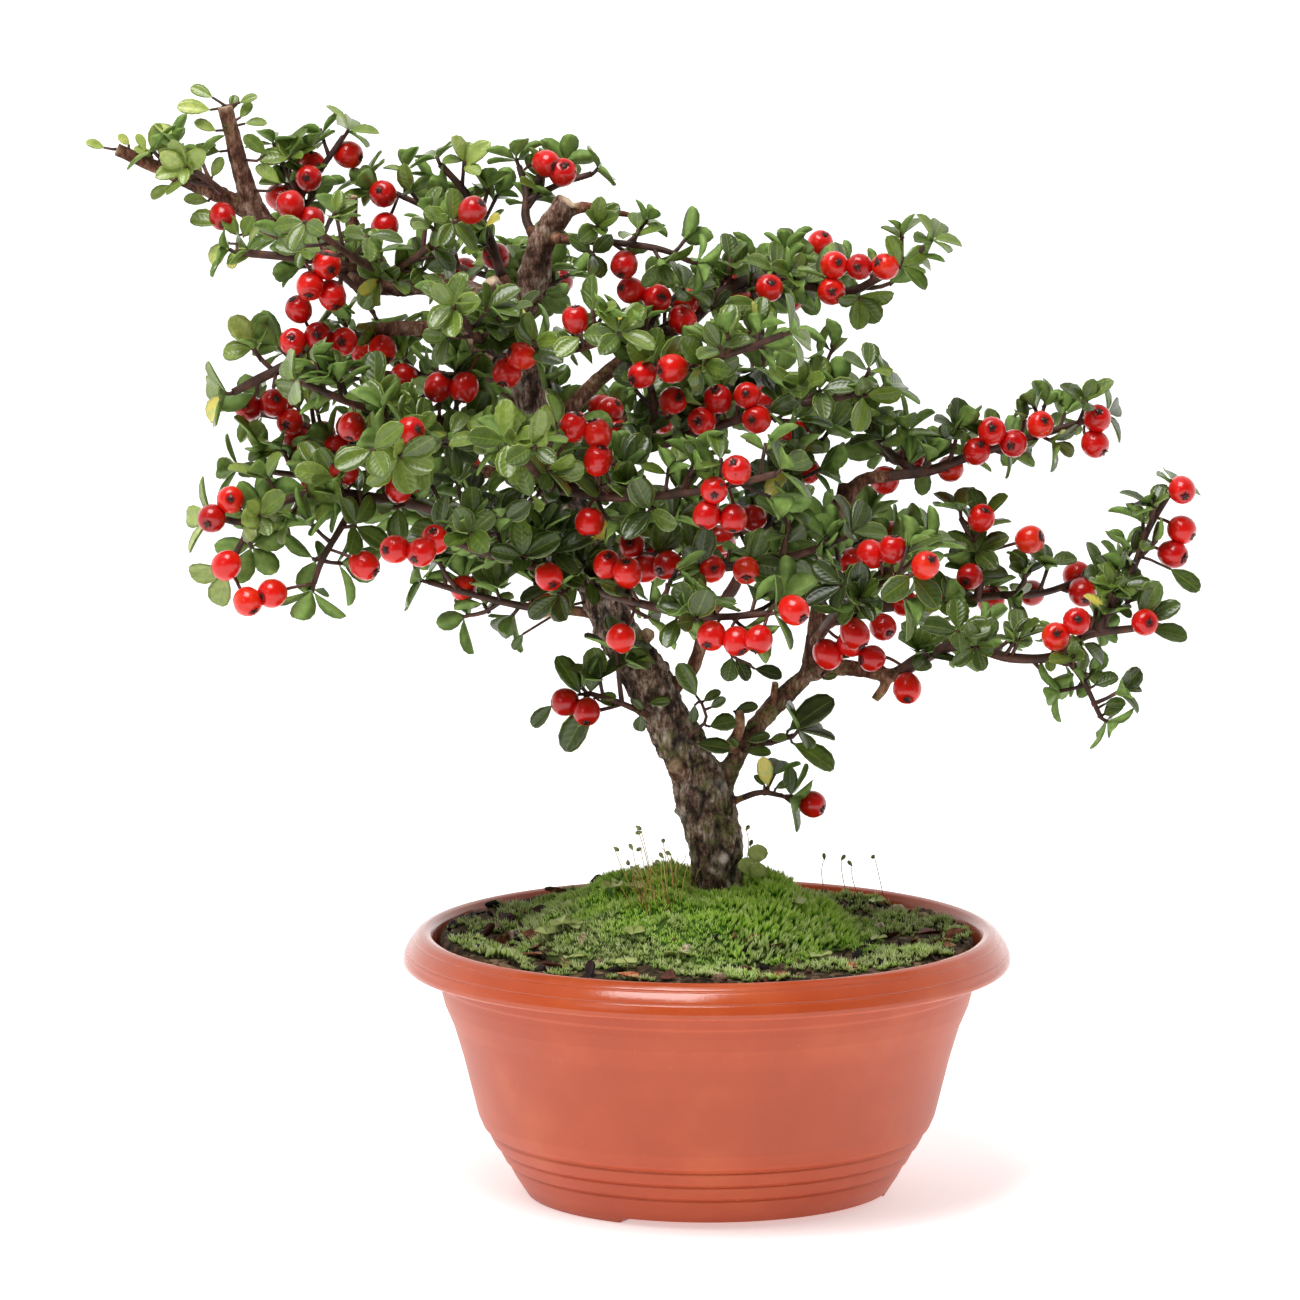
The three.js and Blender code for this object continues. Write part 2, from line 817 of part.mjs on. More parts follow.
// Stations along a stem: centre, direction and two cross axes carried along without twist.
// The centres lie on the straight chords between the stem's own rings.
function stationsOf(stem, shares) {
  const curve = curveOf(stem.route);
  const rings = ringCount(stem);
  const stations = [];
  let side = new THREE.Vector3(0.3, 1, 0.2);
  for (const share of shares) {
    const ring = Math.min(Math.floor(share * rings), rings - 1);
    const next = curve.getPointAt((ring + 1) / rings);
    const centre = curve.getPointAt(ring / rings).lerp(next, share * rings - ring);
    const along = curve.getTangentAt(share);
    side = side.clone().addScaledVector(along, -side.dot(along)).normalize();
    stations.push({ centre, along, side, across: along.clone().cross(side), share });
  }
  return stations;
}

// A tapered stem with flat ends, between two shares of its length; grow adds to it all round.
function stemSolid(stem, from = 0, to = 1, grow = 0) {
  const sides = stem.sides ?? STEM_SIDES;
  const count = ringCount(stem);
  const nearest = 0.3 / count;
  const shares = [from];
  for (let i = 1; i < count; i += 1) {
    const share = i / count;
    if (share > from + nearest && share < to - nearest) {
      shares.push(share);
    }
  }
  shares.push(to);
  const stations = stationsOf(stem, shares);
  stations[0].centre.addScaledVector(stations[0].along, -grow);
  stations[shares.length - 1].centre.addScaledVector(stations[shares.length - 1].along, grow);
  const points = [];
  for (const { centre, side, across, share } of stations) {
    const radius = radiusAt(stem.thick, share) + grow;
    for (let k = 0; k < sides; k += 1) {
      const angle = (k / sides) * 2 * Math.PI;
      points.push(centre.clone()
        .addScaledVector(side, radius * Math.cos(angle))
        .addScaledVector(across, radius * Math.sin(angle)));
    }
  }
  const faces = [];
  const last = (shares.length - 1) * sides;
  for (let k = 1; k < sides - 1; k += 1) {
    faces.push([0, k + 1, k], [last, last + k, last + k + 1]);
  }
  for (let i = 0; i < shares.length - 1; i += 1) {
    for (let k = 0; k < sides; k += 1) {
      const a = i * sides + k;
      const b = i * sides + ((k + 1) % sides);
      faces.push([a, b, b + sides], [a, b + sides, a + sides]);
    }
  }
  return closedSolid(points, faces);
}

// A rosette
// Cupped leaves round a small hub, on a short spur whose foot is sunk in the stem. Leaves is a
// list of { turn, tilt, length, width }, or null where one would hit a neighbour.
function rosetteSolid({ foot, hub, axis, start, leaves }, grow = 0) {
  const count = leaves.length;
  const first = start.clone().addScaledVector(axis, -start.dot(axis)).normalize();
  const second = axis.clone().cross(first);
  const radial = (angle) => (
    first.clone().multiplyScalar(Math.cos(angle)).addScaledVector(second, Math.sin(angle)));
  const half = LEAF_THICK / 2 + grow;
  const points = [foot.clone()];
  for (const lift of [-half, half]) {
    for (let k = 0; k < count; k += 1) {
      const corner = radial(((k - 0.5) / count) * 2 * Math.PI);
      points.push(hub.clone().addScaledVector(corner, HUB_RADIUS + grow).addScaledVector(axis, lift));
    }
  }
  const faces = [];
  for (let k = 1; k < count - 1; k += 1) {
    faces.push([1 + count, 1 + count + k, 2 + count + k]);
  }
  for (let k = 0; k < count; k += 1) {
    const next = (k + 1) % count;
    const [lowA, lowB] = [1 + k, 1 + next];
    const [topA, topB] = [1 + count + k, 1 + count + next];
    faces.push([0, lowB, lowA]);
    const leaf = leaves[k];
    if (leaf === null) {
      faces.push([topA, lowA, lowB], [topA, lowB, topB]);
      continue;
    }
    const out = radial((k / count) * 2 * Math.PI + leaf.turn);
    const across = axis.clone().cross(out);
    const [tiltCos, tiltSin] = [Math.cos(leaf.tilt), Math.sin(leaf.tilt)];
    const along = out.clone().multiplyScalar(tiltCos).addScaledVector(axis, tiltSin);
    const face = out.clone().multiplyScalar(-tiltSin).addScaledVector(axis, tiltCos);
    const spot = (far, wide, raise) => hub.clone()
      .addScaledVector(along, far)
      .addScaledVector(across, wide * (leaf.width / 2 + grow))
      .addScaledVector(face, raise);
    const tip = points.length;
    const rise = LEAF_RISE * leaf.width;
    const widest = LEAF_WIDEST * leaf.length;
    points.push(
      spot(leaf.length + grow, 0, -rise),
      spot(widest, -1, rise + half),
      spot(widest, -1, rise - half),
      spot(widest, 1, rise + half),
      spot(widest, 1, rise - half),
    );
    const [right, rightLow, left, leftLow] = [tip + 1, tip + 2, tip + 3, tip + 4];
    faces.push([topA, right, tip], [topA, tip, topB], [topB, tip, left]);
    faces.push([lowA, tip, rightLow], [lowA, lowB, tip], [lowB, leftLow, tip]);
    faces.push([topA, lowA, rightLow], [topA, rightLow, right], [right, rightLow, tip]);
    faces.push([left, tip, leftLow], [left, leftLow, lowB], [left, lowB, topB]);
  }
  return closedSolid(points, faces);
}

// The same rosette with one of its leaves alone and hardly any spur, to see what it would hit.
function bladeSolid(rosette, index, grow) {
  const leaves = rosette.leaves.map((leaf, k) => (k === index ? leaf : null));
  const foot = rosette.hub.clone().addScaledVector(rosette.axis, -1);
  return rosetteSolid({ ...rosette, foot, leaves }, grow);
}

function touches(solid, others) {
  return others.some((other) => boxesMeet(solid, other) && !solid.intersect(other).isEmpty());
}

function boxesMeet(one, two) {
  const a = one.boundingBox();
  const b = two.boundingBox();
  return [0, 1, 2].every((i) => a.min[i] < b.max[i] && b.min[i] < a.max[i]);
}

// Wood
// Trunk, limbs, old stubs and the bare first stretch of every branch, grown together.
function makeWood(grow = 0) {
  const members = [TRUNK, SUB_TRUNK, UPPER_LEFT, ...STUBS];
  const solids = members.map((member) => stemSolid(member, 0, 1, grow));
  for (const branch of BRANCHES) {
    solids.push(stemSolid(branch.stems[0], 0, branch.bare, grow));
  }
  return join(solids);
}

// Berries
// The first berry of a bunch keeps its place and each further one is drawn in until it touches
// one already there. All are pushed forward until they are clear of the guards, which are what
// is there already a gap's width too thick, and which are then cut from the bunch's one stalk.
function makeBunch(places, guards, stemPoints) {
  const centres = [];
  for (const place of places) {
    centres.push(clearPlace(seen(place), centres, guards));
  }
  let hold = null;
  for (const centre of centres) {
    for (const point of stemPoints) {
      const reach = point.centre.distanceTo(centre) - point.radius;
      if (hold === null || reach < hold.reach) {
        hold = { reach, centre, from: point.centre };
      }
    }
  }
  const whole = (grow) => join([
    ...centres.map((centre) => berrySolid(centre, grow)),
    stalkSolid(hold.from, hold.centre, grow),
  ]);
  const clear = (rest, guard) => (boxesMeet(rest, guard) ? rest.subtract(guard) : rest);
  return { solid: largest(guards.reduce(clear, whole(0))), guard: whole(GAP) };
}

// The place nearest to the wished one that is clear of the guards.
function clearPlace(wished, centres, guards) {
  const reach = 2 * BERRY_RADIUS - BERRY_PRESS;
  const partner = centres.reduce((best, one) => (
    best === null || one.distanceTo(wished) < best.distanceTo(wished) ? one : best), null);
  for (let push = 0; push < BERRY_PUSHES; push += 1) {
    const centre = wished.clone();
    centre.y -= BERRY_PUSH * push;
    if (partner !== null) {
      centre.sub(partner).setLength(reach).add(partner);
    }
    const crowded = centres.some((one) => one !== partner && one.distanceTo(centre) < reach);
    if (!crowded && !touches(berrySolid(centre, 0), guards)) {
      return centre;
    }
  }
  return wished;
}

// The biggest of the pieces that a cut leaves.
function largest(solid) {
  const pieces = solid.decompose();
  return pieces.reduce((best, one) => (one.volume() > best.volume() ? one : best));
}

// A berry of twenty faces. Its corners stand out a little so that it has a round one's bulk.
function berrySolid(centre, grow) {
  const ball = new THREE.IcosahedronGeometry((BERRY_RADIUS + grow) * BERRY_CORNER, 0);
  ball.scale(1, 1, BERRY_TALL);
  ball.translate(centre.x, centre.y, centre.z);
  return solidOf(ball);
}

// A thin three-sided stalk that narrows to a point in the middle of its berry.
function stalkSolid(from, to, grow) {
  const along = to.clone().sub(from).normalize();
  const first = along.clone().cross(UP).normalize();
  const second = along.clone().cross(first);
  const points = [to.clone()];
  for (let k = 0; k < 3; k += 1) {
    const angle = (k / 3) * 2 * Math.PI;
    points.push(from.clone()
      .addScaledVector(first, (STALK_RADIUS + grow) * Math.cos(angle))
      .addScaledVector(second, (STALK_RADIUS + grow) * Math.sin(angle)));
  }
  return closedSolid(points, [[1, 3, 2], [0, 1, 2], [0, 2, 3], [0, 3, 1]]);
}

// Where the rosettes of one stem grow: at even steps along it past its bare stretch, and at
// its tip. Each has a number of its own, which all of its draws start from.
function rosettePlaces(stem, stemNumber, from) {
  const length = curveOf(stem.route).getLength();
  const shares = [];
  for (let far = FIRST_ROSETTE; far < length - TIP_CLEAR; far += ROSETTE_STEP) {
    if (far > from * length + TIP_CLEAR) {
      shares.push(far / length);
    }
  }
  shares.push(1);
  return stationsOf(stem, shares).map((station) => (
    { ...station, number: stemNumber * 100 + Math.round(station.share * length / FIRST_ROSETTE) }));
}

// A spur with its leaves. Spurs turn round the stem by the golden angle and lean up and
// forward; each further try turns the spur by another share of the way round.
function rosetteAt({ centre, along, side, across, share, number }, tryNumber) {
  const tip = share === 1;
  const angle = number * GOLDEN_ANGLE + (tryNumber / SPUR_TRIES) * 2 * Math.PI;
  const axis = side.clone().multiplyScalar(Math.cos(angle))
    .addScaledVector(across, Math.sin(angle))
    .addScaledVector(UP, SPUR_LIFT)
    .addScaledVector(along, tip && tryNumber < SPUR_TRIES / 2 ? TIP_LEAN : SPUR_LEAN)
    .normalize();
  const reach = tip ? TIP_SPUR : SPUR_SHORTEST + SPUR_SPREAD * draw(number, 1);
  return {
    foot: centre.clone().addScaledVector(axis, -SPUR_SUNK),
    hub: centre.clone().addScaledVector(axis, reach),
    axis,
    start: along,
    leaves: leavesOf(number),
  };
}

// The leaves of a rosette; turn is how far each stands off its even place, in radians.
function leavesOf(number) {
  const count = draw(number, 2) < FOUR_LEAF_SHARE ? 4 : 5;
  const leaves = [];
  for (let k = 0; k < count; k += 1) {
    leaves.push({
      turn: 0.16 * (draw(number, 10 + k) - 0.5),
      tilt: 0.2 + 0.45 * draw(number, 20 + k),
      length: LEAF_LENGTH * (0.86 + 0.2 * draw(number, 30 + k)),
      width: LEAF_WIDTH * (0.88 + 0.18 * draw(number, 40 + k)),
    });
  }
  return leaves;
}

// One leafy branch: its stems past the bare stretch, with every rosette that finds room.
function makeBranch(branch, branchNumber, obstacles) {
  const start = branch.bare + GAP / curveOf(branch.stems[0].route).getLength();
  const stems = branch.stems.map((stem, i) => stemSolid(stem, i === 0 ? start : 0, 1));
  const solids = [...stems];
  const blades = [];
  branch.stems.forEach((stem, stemIndex) => {
    const from = stemIndex === 0 ? start : 0;
    for (const place of rosettePlaces(stem, branchNumber * 10 + stemIndex, from)) {
      const found = fittedRosette(place, stems, blades, obstacles);
      if (found !== null) {
        solids.push(rosetteSolid(found));
        blades.push(rosetteSolid(found, 0.1));
      }
    }
  });
  return join(solids);
}

// Tries the spur in several directions and keeps the one with the most free leaves, if it has
// at least two.
function fittedRosette(place, stems, blades, obstacles) {
  let best = null;
  let bestCount = 1;
  for (let tryNumber = 0; tryNumber < SPUR_TRIES; tryNumber += 1) {
    const rosette = rosetteAt(place, tryNumber);
    const bareSpur = rosetteSolid({ ...rosette, leaves: rosette.leaves.map(() => null) }, GAP);
    if (touches(bareSpur, obstacles) || touches(bareSpur, blades)) {
      continue;
    }
    const fits = (k) => {
      const blade = bladeSolid(rosette, k, GAP);
      return !touches(blade, obstacles) && !touches(blade, blades) && !touches(blade, stems);
    };
    rosette.leaves = rosette.leaves.map((leaf, k) => (fits(k) ? leaf : null));
    const count = rosette.leaves.filter((leaf) => leaf !== null).length;
    if (count > bestCount) {
      best = rosette;
      bestCount = count;
    }
    if (count === rosette.leaves.length) {
      break;
    }
  }
  return best;
}

// Assembly
// Each piece is clear of all that is placed before it and of the stems that come after it.
const parts = [];

function keep(name, solid, material) {
  parts.push({ name, geometry: geometryOf(solid), material });
}

const trunkHole = stemSolid(TRUNK, 0, 0.4, GAP);
const wood = makeWood();
keep('pot', makePot(), potPlastic);
keep('soil', makeSoil(trunkHole), soilMix);
keep('moss_cushion', makeMoss(trunkHole), mossGreen);
keep('wood', wood, bark);

const guards = [makeWood(GAP)];
const stemPoints = [];
for (const branch of BRANCHES) {
  branch.stems.forEach((stem, i) => {
    guards.push(stemSolid(stem, i === 0 ? branch.bare : 0, 1, GAP));
    const curve = curveOf(stem.route);
    const count = Math.round(curve.getLength() / 2);
    for (let k = 0; k <= count; k += 1) {
      const share = k / count;
      stemPoints.push({ centre: curve.getPointAt(share), radius: radiusAt(stem.thick, share) });
    }
  });
}

const placed = [wood];
for (const [name, places] of Object.entries(BUNCHES)) {
  const { solid, guard } = makeBunch(places, guards, stemPoints);
  placed.push(solid);
  guards.push(guard);
  keep(`berries_${name}`, solid, berryRed);
}

BRANCHES.forEach((branch, number) => {
  const toCome = BRANCHES.slice(number + 1).flatMap((other) => (
    other.stems.map((stem, i) => stemSolid(stem, i === 0 ? other.bare : 0, 1))));
  const solid = makeBranch(branch, number, [...placed, ...toCome]);
  placed.push(solid);
  keep(`branch_${branch.name}`, solid, foliage);
});

const box = new THREE.Box3();
for (const { geometry } of parts) {
  geometry.computeBoundingBox();
  box.union(geometry.boundingBox);
}
const centre = box.getCenter(new THREE.Vector3());

const group = new THREE.Group();
group.position.set(-centre.x, -centre.y, 0);
for (const { name, geometry, material } of parts) {
  const mesh = new THREE.Mesh(geometry, material);
  mesh.name = name;
  group.add(mesh);
}
export default group;
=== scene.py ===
import math

import bpy
import numpy as np
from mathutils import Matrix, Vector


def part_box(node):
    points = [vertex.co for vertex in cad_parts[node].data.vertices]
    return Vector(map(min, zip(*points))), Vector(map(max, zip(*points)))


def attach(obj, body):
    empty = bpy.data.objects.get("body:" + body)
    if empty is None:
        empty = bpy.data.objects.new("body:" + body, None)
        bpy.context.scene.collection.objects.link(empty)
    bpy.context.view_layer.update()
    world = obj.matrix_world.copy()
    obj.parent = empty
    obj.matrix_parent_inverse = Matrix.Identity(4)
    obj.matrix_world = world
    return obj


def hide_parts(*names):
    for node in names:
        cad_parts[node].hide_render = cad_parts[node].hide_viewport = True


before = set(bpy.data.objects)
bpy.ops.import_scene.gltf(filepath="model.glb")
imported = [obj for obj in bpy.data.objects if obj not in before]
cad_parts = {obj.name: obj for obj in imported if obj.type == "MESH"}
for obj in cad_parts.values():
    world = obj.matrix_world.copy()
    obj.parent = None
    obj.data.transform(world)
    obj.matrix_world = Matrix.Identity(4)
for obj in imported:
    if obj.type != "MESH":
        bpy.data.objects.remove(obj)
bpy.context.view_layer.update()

# View
# The tree is seen from the front, almost nine degrees from above and from far off, so that the
# near and the far branches look the same size. Places are in millimetres from the pot's axis.
MM = 0.001
pot_low, pot_high = (np.array(corner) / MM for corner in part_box("pot"))
AXIS = (pot_low + pot_high) / 2 * [1, 1, 0]
EYE_DISTANCE = 2400.0
EYE_PITCH = math.radians(8.8)
EYE_TARGET = np.array([-15.9, 0.0, 153.0])
PIXEL = 0.2782
PICTURE_SIDE = 1300

sight = np.array([0.0, math.cos(EYE_PITCH), -math.sin(EYE_PITCH)])
eye = EYE_TARGET - EYE_DISTANCE * sight
lens = bpy.data.cameras.new("camera")
lens.sensor_width = 36.0
lens.lens = EYE_DISTANCE / (PIXEL * PICTURE_SIDE) * lens.sensor_width
lens.clip_end = 100.0
camera = bpy.data.objects.new("camera", lens)
camera.location = (eye + AXIS) * MM
camera.rotation_euler = (math.pi / 2 - EYE_PITCH, 0.0, 0.0)
bpy.context.scene.collection.objects.link(camera)
bpy.context.scene.camera = camera


# Studio
# A plain pale floor that runs far back, one soft light overhead, a weaker one from the front
# left, and pale walls all round, dimmer in front and under a darker ceiling.
FLOOR_RADIUS = 30.0
FLOOR_COLOUR = "#fafafa"
FRONT_WALL = 0.1
BACK_WALL = 1.8
CEILING_SHARE = 0.5
NEAR_GLOW = 0.45
FAR_GLOW = 0.75
GLOW_GROWS_FROM = 0.4
GLOW_GROWS_TO = 3.0


def linear(colour):
    """An sRGB hex colour as linear red, green, blue and full alpha: the straight foot of the curve
    below 0.04, and the power of 2.4 above it."""
    parts = np.array([int(colour[i:i + 2], 16) for i in (1, 3, 5)]) / 255
    parts = np.where(parts <= 0.04045, parts / 12.92, ((parts + 0.055) / 1.055) ** 2.4)
    return (*(float(part) for part in parts), 1.0)


def add(tree, kind, settings=None, feeds=None):
    """A shader node with its settings, and each input's value or the socket that feeds it. Stops
    are a colour ramp's places and colours."""
    node = tree.nodes.new("ShaderNode" + kind)
    for name, value in (settings or {}).items():
        if name != "stops":
            setattr(node, name, value)
            continue
        elements = node.color_ramp.elements
        elements[0].position, elements[1].position = value[0][0], value[-1][0]
        elements[0].color, elements[1].color = linear(value[0][1]), linear(value[-1][1])
        for place, colour in value[1:-1]:
            elements.new(place).color = linear(colour)
    for key, value in (feeds or {}).items():
        if isinstance(value, bpy.types.NodeSocket):
            tree.links.new(value, node.inputs[key])
        else:
            node.inputs[key].default_value = value
    return node


def finish(name, colour, roughness, **sockets):
    """A material of one shader with these values on its own sockets, as (material, node tree,
    shader)."""
    material = bpy.data.materials.new(name)
    material.use_nodes = True
    shader = material.node_tree.nodes["Principled BSDF"]
    shader.inputs["Base Color"].default_value = linear(colour)
    shader.inputs["Roughness"].default_value = roughness
    for key, value in sockets.items():
        shader.inputs[key.replace("_", " ")].default_value = value
    return material, material.node_tree, shader


floor_finish, tree, shader = finish(
    "matt_white_board", FLOOR_COLOUR, 0.9, Emission_Color=(1, 1, 1, 1),
)
# White board lit evenly from below: its own glow makes up for the lamps' fall with distance.
away = add(
    tree, "VectorMath", {"operation": "LENGTH"}, {0: add(tree, "TexCoord").outputs["Object"]},
)
glow = add(tree, "MapRange", {}, {
    "Value": away.outputs["Value"], "From Min": GLOW_GROWS_FROM, "From Max": GLOW_GROWS_TO,
    "To Min": NEAR_GLOW, "To Max": FAR_GLOW,
})
tree.links.new(glow.outputs["Result"], shader.inputs["Emission Strength"])
angles = np.linspace(0, 2 * math.pi, 64, endpoint=False)
floor_mesh = bpy.data.meshes.new("floor")
floor_rim = np.stack([np.cos(angles), np.sin(angles), 0 * angles], axis=1) * FLOOR_RADIUS
floor_mesh.from_pydata(floor_rim.tolist(), [], [list(range(64))])
floor_mesh.materials.append(floor_finish)
floor = bpy.data.objects.new("floor", floor_mesh)
bpy.context.scene.collection.objects.link(floor)

world = bpy.data.worlds.new("white_surround")
world.use_nodes = True
tree = world.node_tree
towards = add(tree, "SeparateXYZ", {}, {"Vector": add(tree, "TexCoord").outputs["Generated"]})
walls = add(tree, "MapRange", {}, {
    "Value": towards.outputs["Y"], "From Min": -0.6, "From Max": 0.5, "To Min": FRONT_WALL,
    "To Max": BACK_WALL,
})
share = add(tree, "MapRange", {}, {
    "Value": towards.outputs["Z"], "From Min": 0.0, "From Max": 0.6, "To Min": 1.0,
    "To Max": CEILING_SHARE,
})
glow = add(
    tree, "Math", {"operation": "MULTIPLY"},
    {0: walls.outputs["Result"], 1: share.outputs["Result"]},
)
tree.nodes["Background"].inputs["Color"].default_value = (1.0, 1.0, 1.0, 1.0)
tree.links.new(glow.outputs["Value"], tree.nodes["Background"].inputs["Strength"])
bpy.context.scene.world = world
bpy.context.scene.view_settings.view_transform = "Standard"

for name, place, turn, side, power in [
    ("light_above", (-0.25, -0.45, 1.35), (math.radians(24), 0.0, math.radians(-29)), 0.7, 18.5),
    ("light_front", (-1.2, -1.5, 0.9), (math.radians(64), 0.0, math.radians(-38)), 0.8, 3.2),
]:
    lamp = bpy.data.lights.new(name, "AREA")
    lamp.size = side
    lamp.energy = power
    lamp_object = bpy.data.objects.new(name, lamp)
    lamp_object.location = place
    lamp_object.rotation_euler = turn
    bpy.context.scene.collection.objects.link(lamp_object)


# Pot
# One moulded bowl of polypropylene coloured like terracotta, with a broad lip that is flat
# below and finely grooved outside, three low ledges over the foot, a foot ring in two arcs and
# five drain holes in its floor.
POT_SIDES = 200
POT_FLOOR = [(45.5, 2), (45.5, 0), (50.5, 0)]
POT_OUTSIDE = [
    (51.8, 2), (54, 5.4), (55.3, 7.9), (54.9, 8.6), (56.5, 9.3), (58.1, 12.3), (57.7, 13),
    (59.3, 13.7), (60.9, 16.7), (60.5, 17.5), (62.5, 18.9), (64.1, 22.5), (66.2, 31), (68.2, 39),
    (70.9, 48), (73.3, 53.6), (74.3, 57.4), (74.6, 59.6), (75.2, 60.2), (75.6, 63.6),
    (76.4, 64.3), (84.1, 64.4), (84.8, 65), (85, 66), (84.7, 67.5), (84.4, 68.4), (83.95, 68.7),
    (84.15, 69.1), (83.3, 70.4), (82.3, 71.7), (81.8, 72), (81.9, 72.4), (80.6, 73.5), (79, 74),
    (77.4, 73.6), (76.6, 72.4), (75.4, 69), (74.4, 66), (65.6, 38.5), (50, 4.2),
]
FOOT_HEIGHT = 2.0
FOOT_ARCS = [(-101.6, -28.6), (78.4, 151.4)]
FOOT_SLANT = 1.6
DRAIN_RADIUS = 4.0
DRAIN_RING = 30.0


def mesh_piece(name, points, faces, materials, smooth=True):
    """An object of points in millimetres from the pot's axis and a list of arrays of faces, one for
    each number of corners."""
    mesh = bpy.data.meshes.new(name)
    corners = np.concatenate([part.ravel() for part in faces]).astype(np.int32)
    totals = np.concatenate([np.full(len(part), part.shape[1]) for part in faces])
    mesh.vertices.add(len(points))
    mesh.vertices.foreach_set("co", ((points + AXIS) * MM).astype(np.float32).ravel())
    mesh.loops.add(len(corners))
    mesh.loops.foreach_set("vertex_index", corners)
    mesh.polygons.add(len(totals))
    mesh.polygons.foreach_set("loop_start", (np.cumsum(totals) - totals).astype(np.int32))
    mesh.polygons.foreach_set("use_smooth", np.full(len(totals), smooth))
    mesh.update(calc_edges=True)
    for material in materials:
        mesh.materials.append(material)
    piece = bpy.data.objects.new(name, mesh)
    bpy.context.scene.collection.objects.link(piece)
    return piece


def grid_faces(rows, columns, closed=True):
    """Quads of a grid of points kept row by row, whose last column joins the first where it is
    closed."""
    row, column = np.mgrid[0:rows - 1, 0:columns if closed else columns - 1]
    here = (row * columns + column).ravel()
    beside = (row * columns + (column + 1) % columns).ravel()
    return np.stack([here, beside, beside + columns, here + columns], axis=1)


def end_caps(rows, columns, first, second, turned=False):
    """Triangles that close a grid's first and last rows on the points with those two numbers;
    turned round where the grid's own faces are."""
    here = np.arange(columns)
    beside = (here + 1) % columns
    if turned:
        here, beside = beside, here
    last = (rows - 1) * columns
    return np.concatenate([
        np.stack([beside, here, np.full(columns, first)], axis=1),
        np.stack([here + last, beside + last, np.full(columns, second)], axis=1),
    ])


def rounded(outline, radius):
    """An outline whose corners give way to short curves: for each, five points of the parabola
    between the spots a radius before and after it."""
    outline = np.array(outline, float)
    before, corner, after = outline[:-2], outline[1:-1], outline[2:]
    reach_in = np.linalg.norm(before - corner, axis=1, keepdims=True)
    reach_out = np.linalg.norm(after - corner, axis=1, keepdims=True)
    start = corner + (before - corner) * np.minimum(radius / reach_in, 0.42)
    end = corner + (after - corner) * np.minimum(radius / reach_out, 0.42)
    t = np.linspace(0, 1, 5)[None, :, None]
    arcs = (1 - t) ** 2 * start[:, None] + 2 * t * (1 - t) * corner[:, None] + t ** 2 * end[:, None]
    return np.concatenate([outline[:1], arcs.reshape(-1, 2), outline[-1:]])


def drained(piece, ring, radius, count):
    """Cuts round holes, evenly spaced on a ring, down through a piece's floor."""
    turn = np.linspace(0, 2 * math.pi, 32, endpoint=False)
    spots = np.linspace(0, 2 * math.pi, count, endpoint=False)
    circle = np.stack([radius * np.cos(turn), radius * np.sin(turn), 0 * turn], axis=1)
    centres = np.stack([ring * np.cos(spots), ring * np.sin(spots), 0 * spots], axis=1)
    low = (centres[:, None] + circle[None] - [0, 0, 4]).reshape(-1, 3)
    points = np.concatenate([low, low + [0, 0, 14]])
    first = (np.arange(count) * 32)[:, None] + np.arange(32)[None]
    second = (np.arange(count) * 32)[:, None] + (np.arange(32)[None] + 1) % 32
    walls = np.stack([first, second, second + len(low), first + len(low)], axis=2).reshape(-1, 4)
    caps = np.concatenate([first[:, ::-1], first + len(low)])
    cutter = mesh_piece("drain_cutter", points, [walls, caps], [])
    cut = piece.modifiers.new("drain", "BOOLEAN")
    cut.object = cutter
    cut.solver = "EXACT"
    bpy.context.view_layer.update()
    mesh = bpy.data.meshes.new_from_object(
        piece.evaluated_get(bpy.context.evaluated_depsgraph_get()),
    )
    piece.modifiers.clear()
    piece.data = mesh
    bpy.data.objects.remove(cutter)


def keep_attribute(piece, name, values, domain="POINT"):
    """Stores one number for each point or face of a piece under a name that its material reads."""
    piece.data.attributes.new(name, "FLOAT", domain).data.foreach_set(
        "value", np.asarray(values, np.float32).ravel(),
    )


wall = rounded(POT_FLOOR[2:] + POT_OUTSIDE, 0.45)
profile = np.concatenate([[(30.0, 2.0)], POT_FLOOR[:2], wall, [(38.0, 4.2)]])
edges = np.array([[start - FOOT_SLANT, start, end, end + FOOT_SLANT] for start, end in FOOT_ARCS])
turns = np.unique(
    np.concatenate([np.linspace(-180, 180, POT_SIDES, endpoint=False), edges.ravel()]),
)
foot = sum(np.interp(turns, edge, [0, 1, 1, 0]) for edge in edges)
heights = np.repeat(profile[:, 1:], len(turns), axis=1)
heights[heights == 0] = np.tile(FOOT_HEIGHT * (1 - foot), 2)
turn = np.radians(turns)[None]
points = np.stack([profile[:, :1] * np.sin(turn), -profile[:, :1] * np.cos(turn), heights], axis=2)
rows, columns = points.shape[:2]
points = np.concatenate([points.reshape(-1, 3), [[0, 0, 2.0], [0, 0, 4.2]]])
caps = end_caps(rows, columns, rows * columns, rows * columns + 1)

plastic, tree, shader = finish("moulded_polypropylene", "#b8532f", 0.4, Specular_IOR_Level=0.5)
